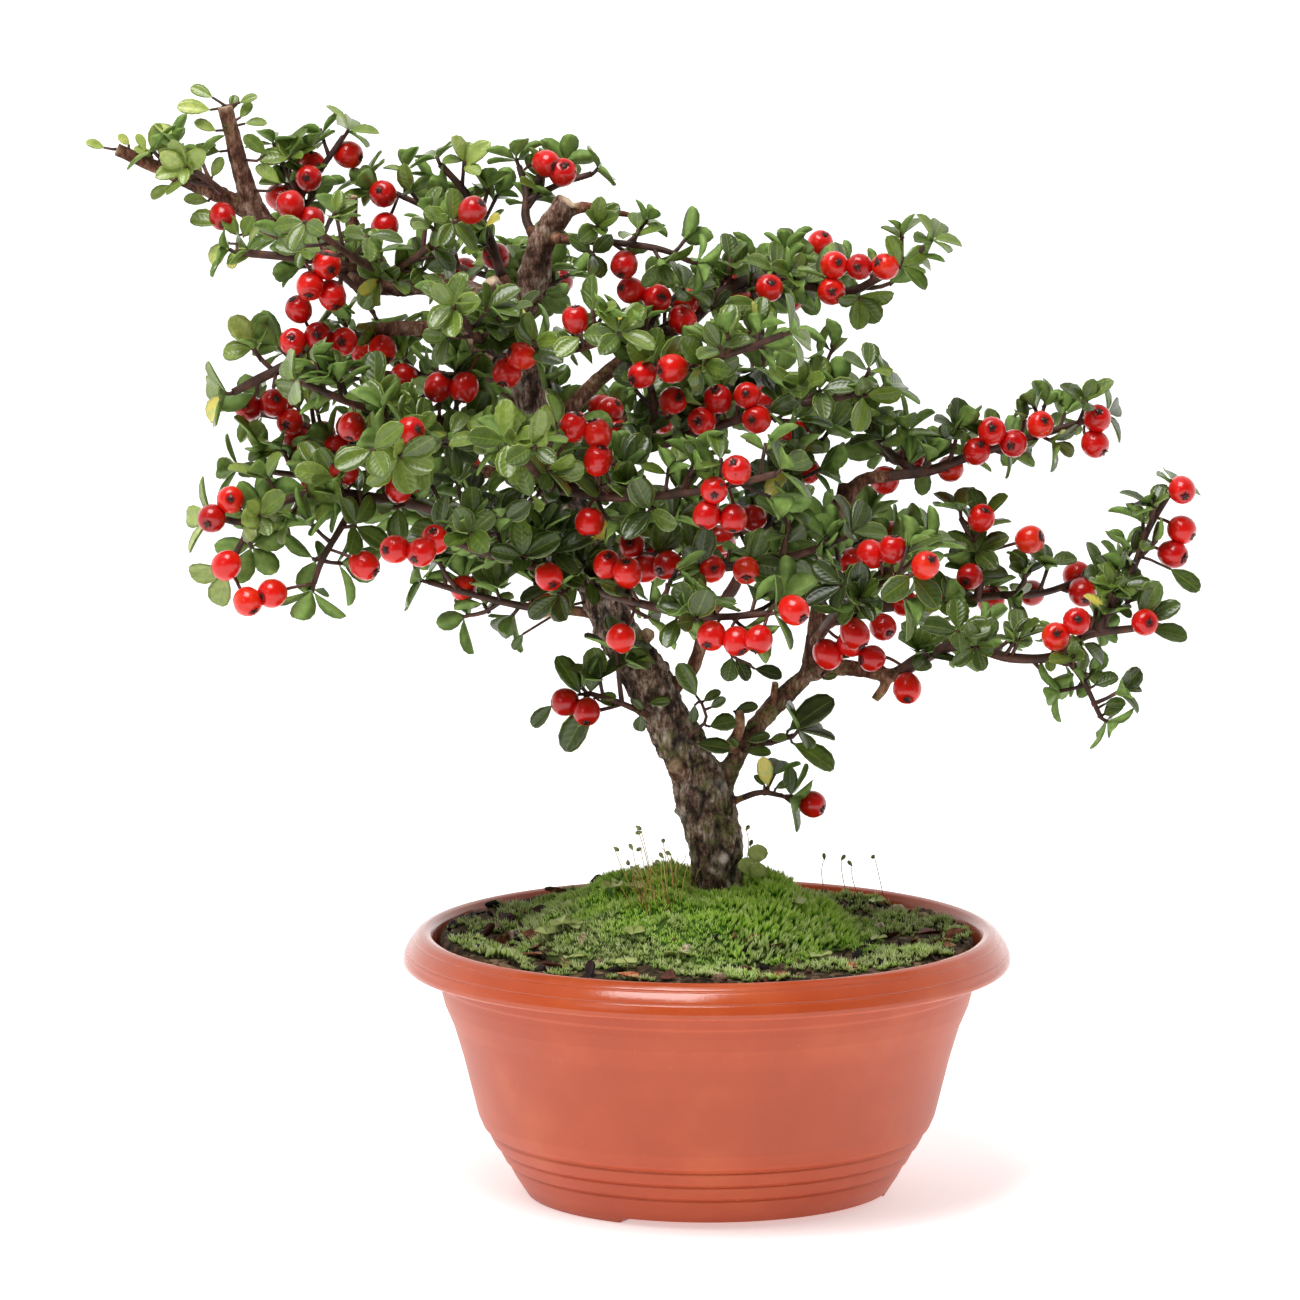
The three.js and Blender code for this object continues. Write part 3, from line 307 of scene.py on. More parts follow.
# Terracotta-coloured polypropylene from a polished mould: satin with a broad soft sheen, a
# little cloudy, with fine pale scuffs and dust along the wall.
place = add(tree, "TexCoord").outputs["Object"]
cloud = add(tree, "TexNoise", {}, {"Vector": place, "Scale": 45.0, "Detail": 3.0}).outputs["Fac"]
speck = add(tree, "TexNoise", {}, {"Vector": place, "Scale": 900.0, "Detail": 2.0}).outputs["Fac"]
tone = add(
    tree, "ValToRGB", {"stops": [(0.25, "#ac4521"), (0.55, "#b54b25"), (0.8, "#be582e")]},
    {"Fac": cloud},
)
dust = add(tree, "ValToRGB", {"stops": [(0.68, "#000000"), (0.78, "#555555")]}, {"Fac": speck})
mixed = add(
    tree, "Mix", {"data_type": "RGBA"},
    {0: dust.outputs["Color"], 6: tone.outputs["Color"], 7: linear("#d9a78e")},
)
tree.links.new(mixed.outputs[2], shader.inputs["Base Color"])
height = add(tree, "SeparateXYZ", {}, {"Vector": place}).outputs["Z"]
gloss = add(
    tree, "MapRange", {},
    {"Value": height, "From Min": 0.063, "From Max": 0.065, "To Min": 0.42, "To Max": 0.18},
)
tree.links.new(gloss.outputs["Result"], shader.inputs["Roughness"])
ripple = add(tree, "Bump", {}, {"Strength": 0.12, "Distance": 0.0004, "Height": speck})
tree.links.new(ripple.outputs["Normal"], shader.inputs["Normal"])

pot = mesh_piece("pot_bowl", points, [grid_faces(rows, columns), caps], [plastic])
drained(pot, DRAIN_RING, DRAIN_RADIUS, 5)
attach(pot, "root")
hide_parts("pot")


# Soil
# Dark potting mix that fills the bowl to a little under the lip: peat crumbs, fine bark and
# grit, loosely heaped towards the front and lower at the back right.
SOIL_LEVEL = 72.2
SOIL_EDGE = 74.6
SOIL_SIDE = [(73.9, 66.0), (65.1, 38.7), (49.4, 4.55)]
MOSS_CENTRE = np.array([-2.0, -2.0])
MOSS_RADIUS = 45.0
MOSS_CREST = 17.0
MOSS_BASE = 74.55


def value_noise(points, size, seed):
    """Smooth noise between -1 and 1: random numbers on a lattice of that size in millimetres,
    blended by a smooth step along each axis."""
    place = points / size
    base = np.floor(place).astype(np.int64)
    part = place - base
    part = part * part * (3 - 2 * part)
    total = np.zeros(len(points))
    for corner in range(8):
        offset = np.array([corner & 1, corner >> 1 & 1, corner >> 2 & 1])
        code = (base + offset) @ np.array([374761393, 668265263, 1274126177]) + seed * 1442695041
        code = (code ^ (code >> 13)) & 0xffffffff
        code = (code * 1274126177) & 0xffffffff
        code = (code ^ (code >> 16)) & 0xffffffff
        total += np.prod(np.where(offset == 1, part, 1 - part), axis=1) * (code / 2 ** 31 - 1)
    return total


def fractal_noise(points, size, seed, octaves=3):
    """Noise summed over octaves, each half the size and half the strength of the last."""
    return sum(value_noise(points, size / 2 ** k, seed + k) / 2 ** k for k in range(octaves)) / 1.5


def soil_height(x, y):
    """The soil's level: flat, with lumps of two sizes, a little higher in front and towards the
    lip, and lower at the back right."""
    flat = np.stack([x, y, 0 * x], axis=1)
    slope = 0.9 * np.clip(-y / 70, -1, 1) - 1.2 * np.clip((x + y) / 100, 0, 1)
    banked = 1.2 * np.clip((np.hypot(x, y) - 48) / 20, 0, 1) * np.clip((y + 40) / 60, 0, 1)
    return SOIL_LEVEL + slope + banked + 1.1 * value_noise(
        flat, 14, 3,
    ) + 0.7 * fractal_noise(flat, 4, 5)


def mound_height(x, y):
    """The moss mound's level: a cosine swell over a rim that bulges to the left, with low cushions
    a few millimetres across on it; far below the soil outside the rim."""
    across, depth = x - MOSS_CENTRE[0], y - MOSS_CENTRE[1]
    angle = np.arctan2(depth, across)
    rim = MOSS_RADIUS * (
        1.04 - 0.12 * np.cos(angle) + 0.04 * np.sin(3 * angle + 1)
    ) + 5 * np.clip(-np.sin(angle), 0, 1)
    out = np.clip(np.hypot(across, depth) / rim, 0, 1)
    swell = np.cos(out * math.pi / 2) ** 0.95
    lump = (np.sin(x * 0.42) + np.sin(y * 0.47 + 1)) * (1 - out ** 3)
    flat = np.stack([x, y, 0 * x], axis=1)
    cushions = 1.3 * value_noise(flat, 9, 21) * (1 - out ** 4)
    hollow = 5.5 * np.exp(-((x - 3) ** 2 + (y + 11) ** 2) / 160)
    level = MOSS_BASE - 2.0 + 2.4 * (1 - out ** 6) + (
        MOSS_CREST - 1
    ) * swell + 0.8 * lump + cushions - hollow
    return np.where(out < 1, level, 0)


rings, columns = 84, 256
radii = np.linspace(0, SOIL_EDGE, rings + 1)[1:]
turn = np.linspace(0, 2 * math.pi, columns, endpoint=False)
x = (radii[:, None] * np.cos(turn)).ravel()
y = (radii[:, None] * np.sin(turn)).ravel()
top = np.stack([x, y, soil_height(x, y)], axis=1)
top[-columns:, 2] -= 1.5
side = np.concatenate(
    [np.stack([r * np.cos(turn), r * np.sin(turn), 0 * turn + z], axis=1) for r, z in SOIL_SIDE],
)
points = np.concatenate([top, side, [[0, 0, SOIL_LEVEL], [0, 0, SOIL_SIDE[-1][1]]]])
rows = rings + len(SOIL_SIDE)
caps = end_caps(rows, columns, rows * columns, rows * columns + 1, turned=True)

potting_mix, tree, shader = finish("peat_and_grit", "#2c231a", 0.95, Specular_IOR_Level=0.2)
# Damp peat crumbs of one to three millimetres: near black in the gaps, brown on the crumbs,
# with pale grit here and there, and no sheen.
place = add(tree, "TexCoord").outputs["Object"]
crumb = add(tree, "TexVoronoi", {}, {"Vector": place, "Scale": 520.0})
tone = add(
    tree, "ValToRGB",
    {
        "stops": [
            (0.0, "#1b1510"), (0.35, "#35291d"), (0.6, "#463a25"), (0.75, "#5c4733"),
            (0.93, "#8a745a"), (1.0, "#b9a88f"),
        ],
    },
    {"Fac": crumb.outputs["Color"]},
)
tree.links.new(tone.outputs["Color"], shader.inputs["Base Color"])
grain = add(tree, "TexNoise", {}, {"Vector": place, "Scale": 1100.0, "Detail": 3.0})
bump = add(tree, "Bump", {}, {"Strength": 0.8, "Distance": 0.0008, "Height": grain.outputs["Fac"]})
tree.links.new(bump.outputs["Normal"], shader.inputs["Normal"])

soil = mesh_piece("soil_mix", points, [grid_faces(rows, columns)[:, ::-1], caps], [potting_mix])
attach(soil, "root")
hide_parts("soil")


# Moss
# A living cushion of moss packed round the trunk's foot, with thin mats of it over most of the
# soil. Each shoot is a tiny star of pointed leaves, bright on the mound and duller by the lip.
SHOOT_HEIGHT = 1.7
SHOOT_SPREAD = 0.75
SHOOT_FOOT = 0.42
SPIRAL_TURN = 2.399963
MOUND_SHOOTS = 7000
MAT_SHOOTS = 5200


def scattered(count, radius, seed):
    """Evenly strewn places on a disc: a sunflower spiral, each shifted by a seeded random step of
    about its own spacing."""
    draw = np.random.default_rng(seed)
    number = np.arange(count) + 0.5
    far = radius * np.sqrt(number / count)
    angle = number * SPIRAL_TURN
    step = 0.7 * radius / math.sqrt(count)
    return np.stack(
        [far * np.cos(angle), far * np.sin(angle)], axis=1,
    ) + draw.normal(0, step, (count, 2))


def uphill(height, x, y):
    """The upward direction that stands square on a surface given by its height: its slopes by small
    steps."""
    step = 0.4
    slope_x = (height(x + step, y) - height(x - step, y)) / (2 * step)
    slope_y = (height(x, y + step) - height(x, y - step)) / (2 * step)
    normal = np.stack([-slope_x, -slope_y, np.ones(len(x))], axis=1)
    return normal / np.linalg.norm(normal, axis=1, keepdims=True)


def moss_shoots(spots, ground, normals, size, seed):
    """Small stars of four blades: each blade is a three-cornered foot with one tip, and the tips
    stand round the shoot's own leaning axis, closer on a larger shoot. Gives points, faces and a
    number from 0 at the foot to up to 1 at the tip."""
    draw = np.random.default_rng(seed)
    count = len(spots)
    axis = normals + 0.35 * draw.normal(0, 1, (count, 3)) * [1, 1, 0.2] + [0, 0, 0.5]
    axis /= np.linalg.norm(axis, axis=1, keepdims=True)
    side = np.cross(axis, [0.3, 1.0, 0.1])
    side /= np.linalg.norm(side, axis=1, keepdims=True)
    across = np.cross(axis, side)
    tall = SHOOT_HEIGHT * size * draw.uniform(0.6, 1.35, count)
    start = draw.uniform(0, 2 * math.pi, count)
    root = np.concatenate([spots, ground[:, None] - 0.5], axis=1)
    angle = start[:, None] + np.arange(4) * math.pi / 2 + draw.normal(0, 0.25, (count, 4))

    def around(turned):
        return np.cos(turned)[
            ..., None,
        ] * side[:, None] + np.sin(turned)[..., None] * across[:, None]

    spread = SHOOT_SPREAD * draw.uniform(0.5, 1.3, (count, 4)) / np.maximum(size, 0.8)[:, None]
    tip = root[:, None] + axis[:, None] * (
        0.5 + tall[:, None] * draw.uniform(0.75, 1.1, (count, 4))
    )[..., None] + spread[..., None] * around(angle)
    broad = SHOOT_FOOT * np.sqrt(size)[:, None, None]
    feet = [root[:, None] + broad * around(angle + step) for step in (-1.1, 1.1, math.pi)]
    points = np.stack([*feet, tip], axis=2).reshape(-1, 3)
    first = np.arange(0, len(points), 4)[:, None]
    faces = np.concatenate(
        [first + corner for corner in ([0, 2, 1], [0, 1, 3], [1, 2, 3], [2, 0, 3])],
    )
    bright = np.repeat(draw.uniform(0.55, 1.0, count), 16)
    return points, faces, np.tile([0.0, 0.0, 0.0, 1.0], len(points) // 4) * bright


columns, rings = 160, 46
turn = np.linspace(0, 2 * math.pi, columns, endpoint=False)
rim = MOSS_RADIUS * (
    1.04 - 0.12 * np.cos(turn) + 0.04 * np.sin(3 * turn + 1)
) + 5 * np.clip(-np.sin(turn), 0, 1)
share = np.linspace(0, 0.998, rings + 1)[1:, None]
x = (MOSS_CENTRE[0] + share * rim * np.cos(turn)).ravel()
y = (MOSS_CENTRE[1] + share * rim * np.sin(turn)).ravel()
top = np.stack([x, y, mound_height(x, y)], axis=1)
under = top[-columns:] * [1, 1, 0] + [0, 0, 68.0]
centre = np.array([[*MOSS_CENTRE, 0.0]])
peak = mound_height(centre[:, 0], centre[:, 1])
points = np.concatenate([top, under, centre + [0, 0, peak[0]], centre + [0, 0, 68.0]])
rows = rings + 1
faces = grid_faces(rows, columns)[:, ::-1]
caps = end_caps(rows, columns, rows * columns, rows * columns + 1, turned=True)

spots = scattered(MOUND_SHOOTS, 56, 11)
ground = mound_height(spots[:, 0], spots[:, 1])
spots, ground = spots[ground > 70], ground[ground > 70]
bristly = 1 + 0.8 * np.clip((spots[:, 0] - 3) / 6, 0, 1)
shoot_points, shoot_faces, tips = moss_shoots(
    spots, ground, uphill(mound_height, spots[:, 0], spots[:, 1]), bristly, 12,
)
mound_points = np.concatenate([points, shoot_points])
moss_triangles = np.concatenate([caps, shoot_faces + len(points)])
moss_tips = np.concatenate([np.full(len(points), 0.1), tips])

moss_finish, tree, shader = finish(
    "living_moss", "#6d9a26", 0.75, Specular_IOR_Level=0.3, Subsurface_Weight=0.0,
)
# Damp moss leaves: deep green down between the shoots, bright yellow green at their tips, in
# cushions of slightly different green, dull towards the lip. The climb from dark foot to pale tip
# is partly the moss's own paler new growth and partly painted light: painted shade down between the
# shoots and a painted glow through the thin tips.
place = add(tree, "TexCoord").outputs["Object"]
tip = add(tree, "Attribute", {"attribute_name": "tip"}).outputs["Fac"]
dull = add(tree, "Attribute", {"attribute_name": "dull"}).outputs["Fac"]
patch = add(tree, "TexNoise", {}, {"Vector": place, "Scale": 130.0, "Detail": 3.0}).outputs["Fac"]
# Ramps along each shoot: dark at the foot as painted shade between the shoots, near white at the
# tip as a painted glow, over the moss's own paler tips.
bright = add(
    tree, "ValToRGB",
    {
        "stops": [
            (0.0, "#1c3a07"), (0.25, "#619718"), (0.55, "#9cc838"), (0.8, "#d3eb7a"),
            (1.0, "#f3f9c2"),
        ],
    },
    {"Fac": tip},
)
grey = add(
    tree, "ValToRGB",
    {
        "stops": [
            (0.0, "#2b3116"), (0.3, "#6b7b38"), (0.6, "#a8b56c"), (0.85, "#d2d9ac"),
            (1.0, "#eff1e0"),
        ],
    },
    {"Fac": tip},
)
blend = add(
    tree, "MapRange", {},
    {"Value": patch, "From Min": 0.3, "From Max": 0.7, "To Min": -0.45, "To Max": 0.45},
)
amount = add(
    tree, "Math", {"operation": "ADD", "use_clamp": True}, {0: blend.outputs["Result"], 1: dull},
)
mixed = add(
    tree, "Mix", {"data_type": "RGBA"},
    {0: amount.outputs["Value"], 6: bright.outputs["Color"], 7: grey.outputs["Color"]},
)
tree.links.new(mixed.outputs[2], shader.inputs["Base Color"])

moss = mesh_piece("moss_mound", mound_points, [faces, moss_triangles], [moss_finish])
# The tip number sets both the moss's paler new tips and the painted shade and glow along each
# shoot.
keep_attribute(moss, "tip", moss_tips)
keep_attribute(
    moss, "dull",
    np.clip((np.hypot(mound_points[:, 0] - 4, mound_points[:, 1] + 4) - 30) / 24, 0, 1),
)
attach(moss, "root")
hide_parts("moss_cushion")


spots = scattered(MAT_SHOOTS * 2, 74, 31)
flat = np.concatenate([spots, 0 * spots[:, :1]], axis=1)
open_soil = mound_height(spots[:, 0], spots[:, 1]) < 70
clump = fractal_noise(flat, 9, 41)
covered = clump > -0.16
inside = np.hypot(spots[:, 0], spots[:, 1]) < 73.4
kept = open_soil & covered & inside
spots, clump = spots[kept], clump[kept]
ground = soil_height(spots[:, 0], spots[:, 1]) + 0.3 + 1.6 * np.clip(clump + 0.1, 0, 1)
size = 0.62 + 0.8 * np.clip(clump + 0.1, 0, 1)
points, faces, tips = moss_shoots(
    spots, ground, uphill(soil_height, spots[:, 0], spots[:, 1]), size, 32,
)
mats = mesh_piece("moss_mats", points, [faces], [moss_finish])
# As on the mound, the tip number carries painted shade at the foot and a painted glow at the tip.
keep_attribute(mats, "tip", tips)
reach = np.hypot(points[:, 0] + 2, points[:, 1] + 6)
keep_attribute(mats, "dull", np.clip((reach - 38) / 20, 0, 0.95) + 0.3 * value_noise(points, 9, 44))
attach(mats, "root")


# Wood
# One old trunk that leans left as it climbs, its limbs, pruned stubs and the bare start of every
# branch, all grown together. The bark is dark, flaky and cracked, green with algae low down,
# and the sawn ends show tan wood.
SIGHT = 0.14
SKIN = 0.55
TRUNK = ([
    21, 20, 18, 15.6, 14.6, 16.6, 14.8, 13.8, 13.6, 13.2, 12.7, 12.4, 12.3, 12, 11.6, 11.2, 10.6,
    10,
    9.4, 9, 8.6,
], [
    (4, 0, 60), (3.5, 0, 80), (3, 0, 90), (2, -1, 100), (0, -1, 110), (-4, -1, 120), (-9, -1, 130),
    (-14, -1, 140), (-20, 0, 150), (-26, 1, 160), (-30, 2, 170), (-33, 3, 180), (-38, 4, 190),
    (-42, 4, 203), (-46, 3, 215), (-51, 2, 233), (-53, 0, 250),
])
LIMBS = [
    ([8, 6.4, 5.8, 5.4, 4.4, 4, 3.6, 3], [
        (1, 0, 106), (4, 0, 114), (10.3, 2, 126), (18.5, 4, 137), (28, 6, 147), (29.6, 7, 156.5),
        (32.7, 9, 174), (36.5, 11, 191), (38, 12, 200),
    ]),
    ([7, 6.4, 6, 5.6, 5.2, 4.8, 4.2, 3.7], [
        (-53, 0, 246), (-62, 1, 252), (-75, 2, 255), (-86, 3, 255), (-95, 3, 256), (-108, 3, 264),
        (-121.3, 3, 271.6), (-134.3, 2, 280), (-148, 1, 286), (-163, 0, 292.7),
    ]),
]
STUBS = [
    ([9, 8, 7.4, 6.6], [(-53, 0, 244), (-48, -7, 256), (-45.5, -10, 267), (-38.4, -12, 278)]),
    ([4, 1.6], [(-43, -10, 271), (-36, -12, 276), (-21, -12, 274)]),
    ([5.5, 5], [(-50, 1, 232), (-57, -4, 235), (-63, -7, 234)]),
    ([5.5, 5], [(-53, 0, 246), (-57, -5, 251), (-60, -8, 256)]),
    ([5.6, 4.8, 4.4], [(-124, 3, 273), (-128.3, 1, 285), (-132.9, -1, 304.6)]),
    ([3, 2.5], [(-98, 3, 258), (-98, 2, 268), (-97.6, 1, 280)]),
    ([3, 2.4], [(48, 0, 147), (49.7, -3, 144), (46.6, -4, 139)]),
    ([3.4, 2.4], [(6, -1, 125), (9, -5, 131), (9, -6, 136)]),
    ([2.6, 2], [(14, 3, 132), (18, 0, 138), (19, -1, 144)]),
    ([6, 4.6], [(-4, -2, 116), (-8, -7, 119), (-9, -9, 121)]),
    ([5, 4], [(-22, 0, 152), (-18, -5, 156), (-16, -7, 158)]),
]
SAWN_ENDS = [
    ((-38.4, -12, 278), 3.2), ((-163, 0, 292.7), 1.85), ((-132.9, -1, 304.6), 2.2),
    ((-97.6, 1, 280), 1.25), ((-63, -7, 234), 2.4), ((-60, -8, 256), 2.4), ((-9, -9, 121), 2.2),
    ((-16, -7, 158), 2.0), ((9, -6, 136), 1.2), ((19, -1, 144), 1.0), ((46.6, -4, 139), 1.2),
]
BRANCHES = {
    "right_mid": (0.22, [
        ([3.8, 2], [
            (37, 11, 193), (43, 13, 200.5), (52, 15, 202), (62, 16, 203.4), (74.6, 18, 208),
            (90, 20, 212.8), (102.4, 21, 216.4), (110, 21, 219),
        ]),
        ([2.4, 1.6], [(58, 15.6, 203), (51, 22, 209), (45, 26, 216), (42, 28, 223)]),
    ]),
    "lower_right": (0.3, [
        ([4.6, 2], [
            (28, 6, 147), (38, 3, 148), (45, 0, 147), (51.6, -3, 146), (60, -6, 151),
            (70, -9, 154.6),
            (84, -12, 151), (97, -14, 151.7), (104, -15, 157), (119, -17, 159.5),
        ]),
        ([2.2, 1.6], [
            (108, -15.5, 158.4), (112.4, -14, 167), (117.8, -12, 176.3), (121.9, -10, 187),
            (127.8, -8, 197),
        ]),
        ([1.8, 1.4], [(98, -14, 152), (103, -17, 146), (108.6, -19, 134.6)]),
    ]),
    "centre_right": (0.2, [
        ([3.6, 1.8], [
            (30, 7, 158), (38, 12, 163), (50, 16, 165), (64, 20, 165.5), (80, 23, 168),
            (95, 26, 169), (106, 28, 173), (114, 29, 176),
        ]),
        ([2, 1.6], [(76, 22.4, 167), (76.5, 19, 178), (71, 16, 190)]),
    ]),
    "right_front": (0.22, [
        (
            [3.2, 1.8],
            [(29.6, 7, 154), (33, -10, 160), (38, -26, 166), (45, -41, 171), (54, -55, 174)],
        ),
    ]),
    "right_back": (0.22, [
        ([3.2, 1.8], [(34, 10, 180), (40, 27, 182), (46, 42, 183), (50, 54, 184)]),
    ]),
    "upper_right": (0.28, [
        ([5, 2], [
            (-45, 3, 211), (-33, 4, 226), (-18, 5, 238), (-5, 5, 245), (1.3, 5, 250.8),
            (10, 5, 256),
            (22, 5, 256.5), (39, 3, 253.3), (47, 2, 257), (60.8, -1, 266),
        ]),
        ([2, 1.5], [(12, 5, 256.5), (14.5, -2, 246), (15.5, -8, 234)]),
        ([2.4, 1.6], [(0, 5, 249.5), (10, 22, 254), (24, 40, 257), (36, 54, 260)]),
    ]),
    "mid_right": (0.2, [
        ([4, 1.6], [
            (-41, 4, 199), (-28, -3, 206), (-12, -9, 211), (4, -12, 216), (18, -15, 220.5),
            (37, -18, 223.6), (47, -20, 225.6),
        ]),
        ([2.6, 1.6], [
            (-16, -8, 210), (-15, -12, 222), (-17.4, -14, 236), (-14, -15, 247), (-8, -15, 252),
        ]),
    ]),
    "low_centre": (0.22, [
        ([4, 1.8], [
            (-32, 3, 178), (-20, -8, 179), (-8, -15, 178), (3, -20, 176.5), (14, -24, 177.5),
            (25, -27, 180), (38, -30, 185),
        ]),
    ]),
    "centre_stem": (0.42, [
        ([4.2, 3.4, 2.4, 1.8], [
            (-15, -1, 141), (-6, -2, 145), (-2.5, -2, 152), (0.2, -1, 162), (7, 0, 170),
            (12, 1, 182),
            (18, 3, 191), (26, 5, 204), (30, 6, 214),
        ]),
    ]),
    "left_tip": (0.2, [
        ([2.2, 1.6], [(-131, 2, 278), (-137, -5, 283.5), (-144, -7, 288), (-151, -7, 290.5)]),
    ]),
    "left_crown": (0.25, [
        ([2.6, 1.6], [(-112, 3, 266), (-112, 10, 275), (-115, 14, 284), (-120, 16, 293)]),
        ([2.2, 1.6], [(-115, 13, 278), (-108, 16, 287), (-101, 17, 297)]),
    ]),
    "left_level": (0.25, [
        ([3, 2], [(-90, 3, 255.5), (-99, -9, 260), (-112, -15, 262), (-129, -18, 263.6)]),
        ([1.8, 1.4], [(-104, -11.5, 261), (-97, -9, 254), (-92, -10, 247)]),
    ]),
    "left_thick": (0.5, [
        ([6, 5, 4, 2.4], [
            (-51, 2, 232), (-70, -1, 241), (-86, -3, 243), (-101.5, -6, 239), (-117.2, -8, 232),
            (-131, -9, 225),
        ]),
    ]),
    "mid_left": (0.3, [
        ([4.4, 2.2], [
            (-42.5, 4, 203), (-58, 9, 203), (-75, 12, 204), (-90, 13, 206), (-105, 14, 213),
            (-125, 15, 221),
        ]),
        ([2.4, 1.6], [(-84, 12.6, 205), (-98, 8, 202), (-112, 6, 202), (-128, 5, 204)]),
    ]),
    "lower_left": (0.2, [
        ([4.4, 2], [
            (-34, 3, 181), (-45, -5, 184), (-58, -11, 188), (-72, -15, 192), (-88, -18, 195),
            (-105, -20, 197), (-119, -21, 194), (-128, -22, 189), (-134, -23, 190),
        ]),
        ([2, 1.5], [(-121, -21, 193), (-127, -27, 185), (-131, -30, 177)]),
        ([2.2, 1.6], [(-96, -19, 196), (-101, -26, 187), (-106, -31, 178), (-108, -32, 172)]),
    ]),
    "low_left": (0.3, [
        (
            [3, 1.8],
            [(-28, 1.4, 163), (-38, 8, 164), (-50, 14, 165), (-64, 20, 168), (-78, 24, 172)],
        ),
    ]),
    "top_left": (0.25, [
        ([3.6, 2], [(-53, 1, 247), (-57, 7, 258), (-61, 9, 270), (-67, 10, 281), (-74, 10, 289)]),
        ([2, 1.6], [(-60, 9, 267), (-72, 14, 274), (-84, 17, 280), (-93, 18, 284)]),
    ]),
    "top_centre": (0.2, [
        ([3, 1.8], [(-46, -10, 266), (-50, -6, 273), (-50, -3, 281), (-52, -1, 288)]),
        ([2, 1.6], [(-50, -4, 278), (-41, 0, 283), (-32, 2, 286)]),
    ]),
    "top_right": (0.2, [
        ([2.8, 1.6], [
            (-45, -10, 268), (-36, -18, 267), (-24, -21, 266), (-12, -22, 264), (-5, -22, 261),
        ]),
    ]),
    "front_low": (0.2, [
        ([4.2, 2], [
            (-30, 2, 169), (-31, -14, 170), (-36, -28, 173), (-48, -42, 177), (-61, -53, 181),
            (-71, -59, 184),
        ]),
        ([3, 1.8], [
            (-34, -24, 171.5), (-24, -38, 168), (-12, -50, 165), (2, -60, 163), (16, -67, 164),
        ]),
    ]),
    "front_mid": (0.2, [
        ([4, 2], [
            (-41, 4, 198), (-42, -14, 197), (-43, -34, 199), (-46, -54, 202), (-50, -72, 206),
            (-54, -86, 210),
        ]),
        ([3, 1.8], [
            (-43, -30, 198.5), (-30, -42, 196), (-15, -52, 196), (1, -60, 198), (18, -66, 202),
        ]),
    ]),
    "front_left": (0.22, [
        ([4, 2], [
            (-46, 3, 214), (-57, -13, 214), (-70, -28, 216), (-84, -41, 218), (-98, -51, 222),
            (-110, -58, 227),
        ]),
        ([2.4, 1.6], [(-72, -30, 216.3), (-76, -46, 211), (-82, -62, 208), (-90, -74, 208)]),
    ]),
    "front_crown": (0.22, [
        (
            [3.8, 2],
            [(-51, 2, 238), (-56, -14, 236), (-60, -32, 237), (-64, -50, 241), (-69, -66, 247)],
        ),
        ([2.4, 1.6], [(-59, -28, 236.8), (-48, -42, 235), (-36, -55, 236), (-25, -66, 239)]),
    ]),
    "front_upper_left": (0.25, [
        ([3, 1.8], [
            (-79, 2.3, 255), (-85, -14, 256), (-92, -29, 259), (-100, -43, 264), (-108, -54, 270),
        ]),
        ([2.2, 1.6], [(-88, -21, 257.4), (-78, -34, 263), (-70, -44, 270)]),
    ]),
    "front_upper_right": (0.25, [
        (
            [3, 1.8],
            [(-24, 4.6, 233), (-16, -24, 231), (-6, -38, 232), (6, -49, 235), (20, -57, 240)],
        ),
    ]),
    "back_low": (0.2, [
        ([4.2, 2], [
            (-33, 3, 176), (-34, 18, 178), (-42, 34, 181), (-56, 49, 184), (-71, 61, 187),
            (-87, 70, 191),
        ]),
        ([3, 1.8], [(-38, 28, 180), (-26, 43, 181), (-11, 56, 183), (5, 66, 186), (21, 73, 190)]),
    ]),
    "back_mid": (0.2, [
        ([4, 2], [(-43, 4, 206), (-42, 22, 211), (-43, 42, 216), (-46, 62, 220), (-50, 82, 223)]),
        ([3, 1.8], [(-42.4, 30, 213), (-28, 42, 217), (-13, 53, 221), (3, 62, 226), (18, 69, 230)]),
    ]),
    "back_left": (0.22, [
        ([4, 2], [(-50, 2, 229), (-62, 17, 230), (-76, 32, 230), (-91, 45, 231), (-106, 55, 234)]),
    ]),
    "back_crown": (0.22, [
        (
            [3.6, 1.8],
            [(-53, 0.4, 243), (-50, 17, 250), (-47, 35, 256), (-46, 53, 261), (-46, 70, 266)],
        ),
        ([2.4, 1.6], [(-48, 30, 255), (-62, 42, 259), (-77, 52, 264)]),
    ]),
    "back_upper_left": (0.25, [
        ([3, 1.8], [(-92, 3, 255.6), (-100, 21, 259), (-110, 36, 264), (-121, 49, 269)]),
    ]),
    "twig_left": (0.46, [
        ([2, 1.5], [(-10, -1, 132), (-19, -6, 136), (-26, -8, 139), (-33, -8, 141)]),
    ]),
    "twig_right": (0.5, [
        ([2, 1.5], [(1, -1, 108), (8.4, -3, 110.8), (15, -5, 113), (21, -5, 112)]),
    ]),
    "twig_low": (0.35, [
        ([2, 1.5], [(11, 2, 127), (17.6, -1, 127), (24, -3, 129)]),
    ]),
}


def true_place(route):
    """Places written as the front view shows them, [across, depth, height]: what stands nearer is
    seen lower by a seventh of its depth."""
    places = np.array(route, float)
    places[..., 2] -= SIGHT * places[..., 1]
    return places


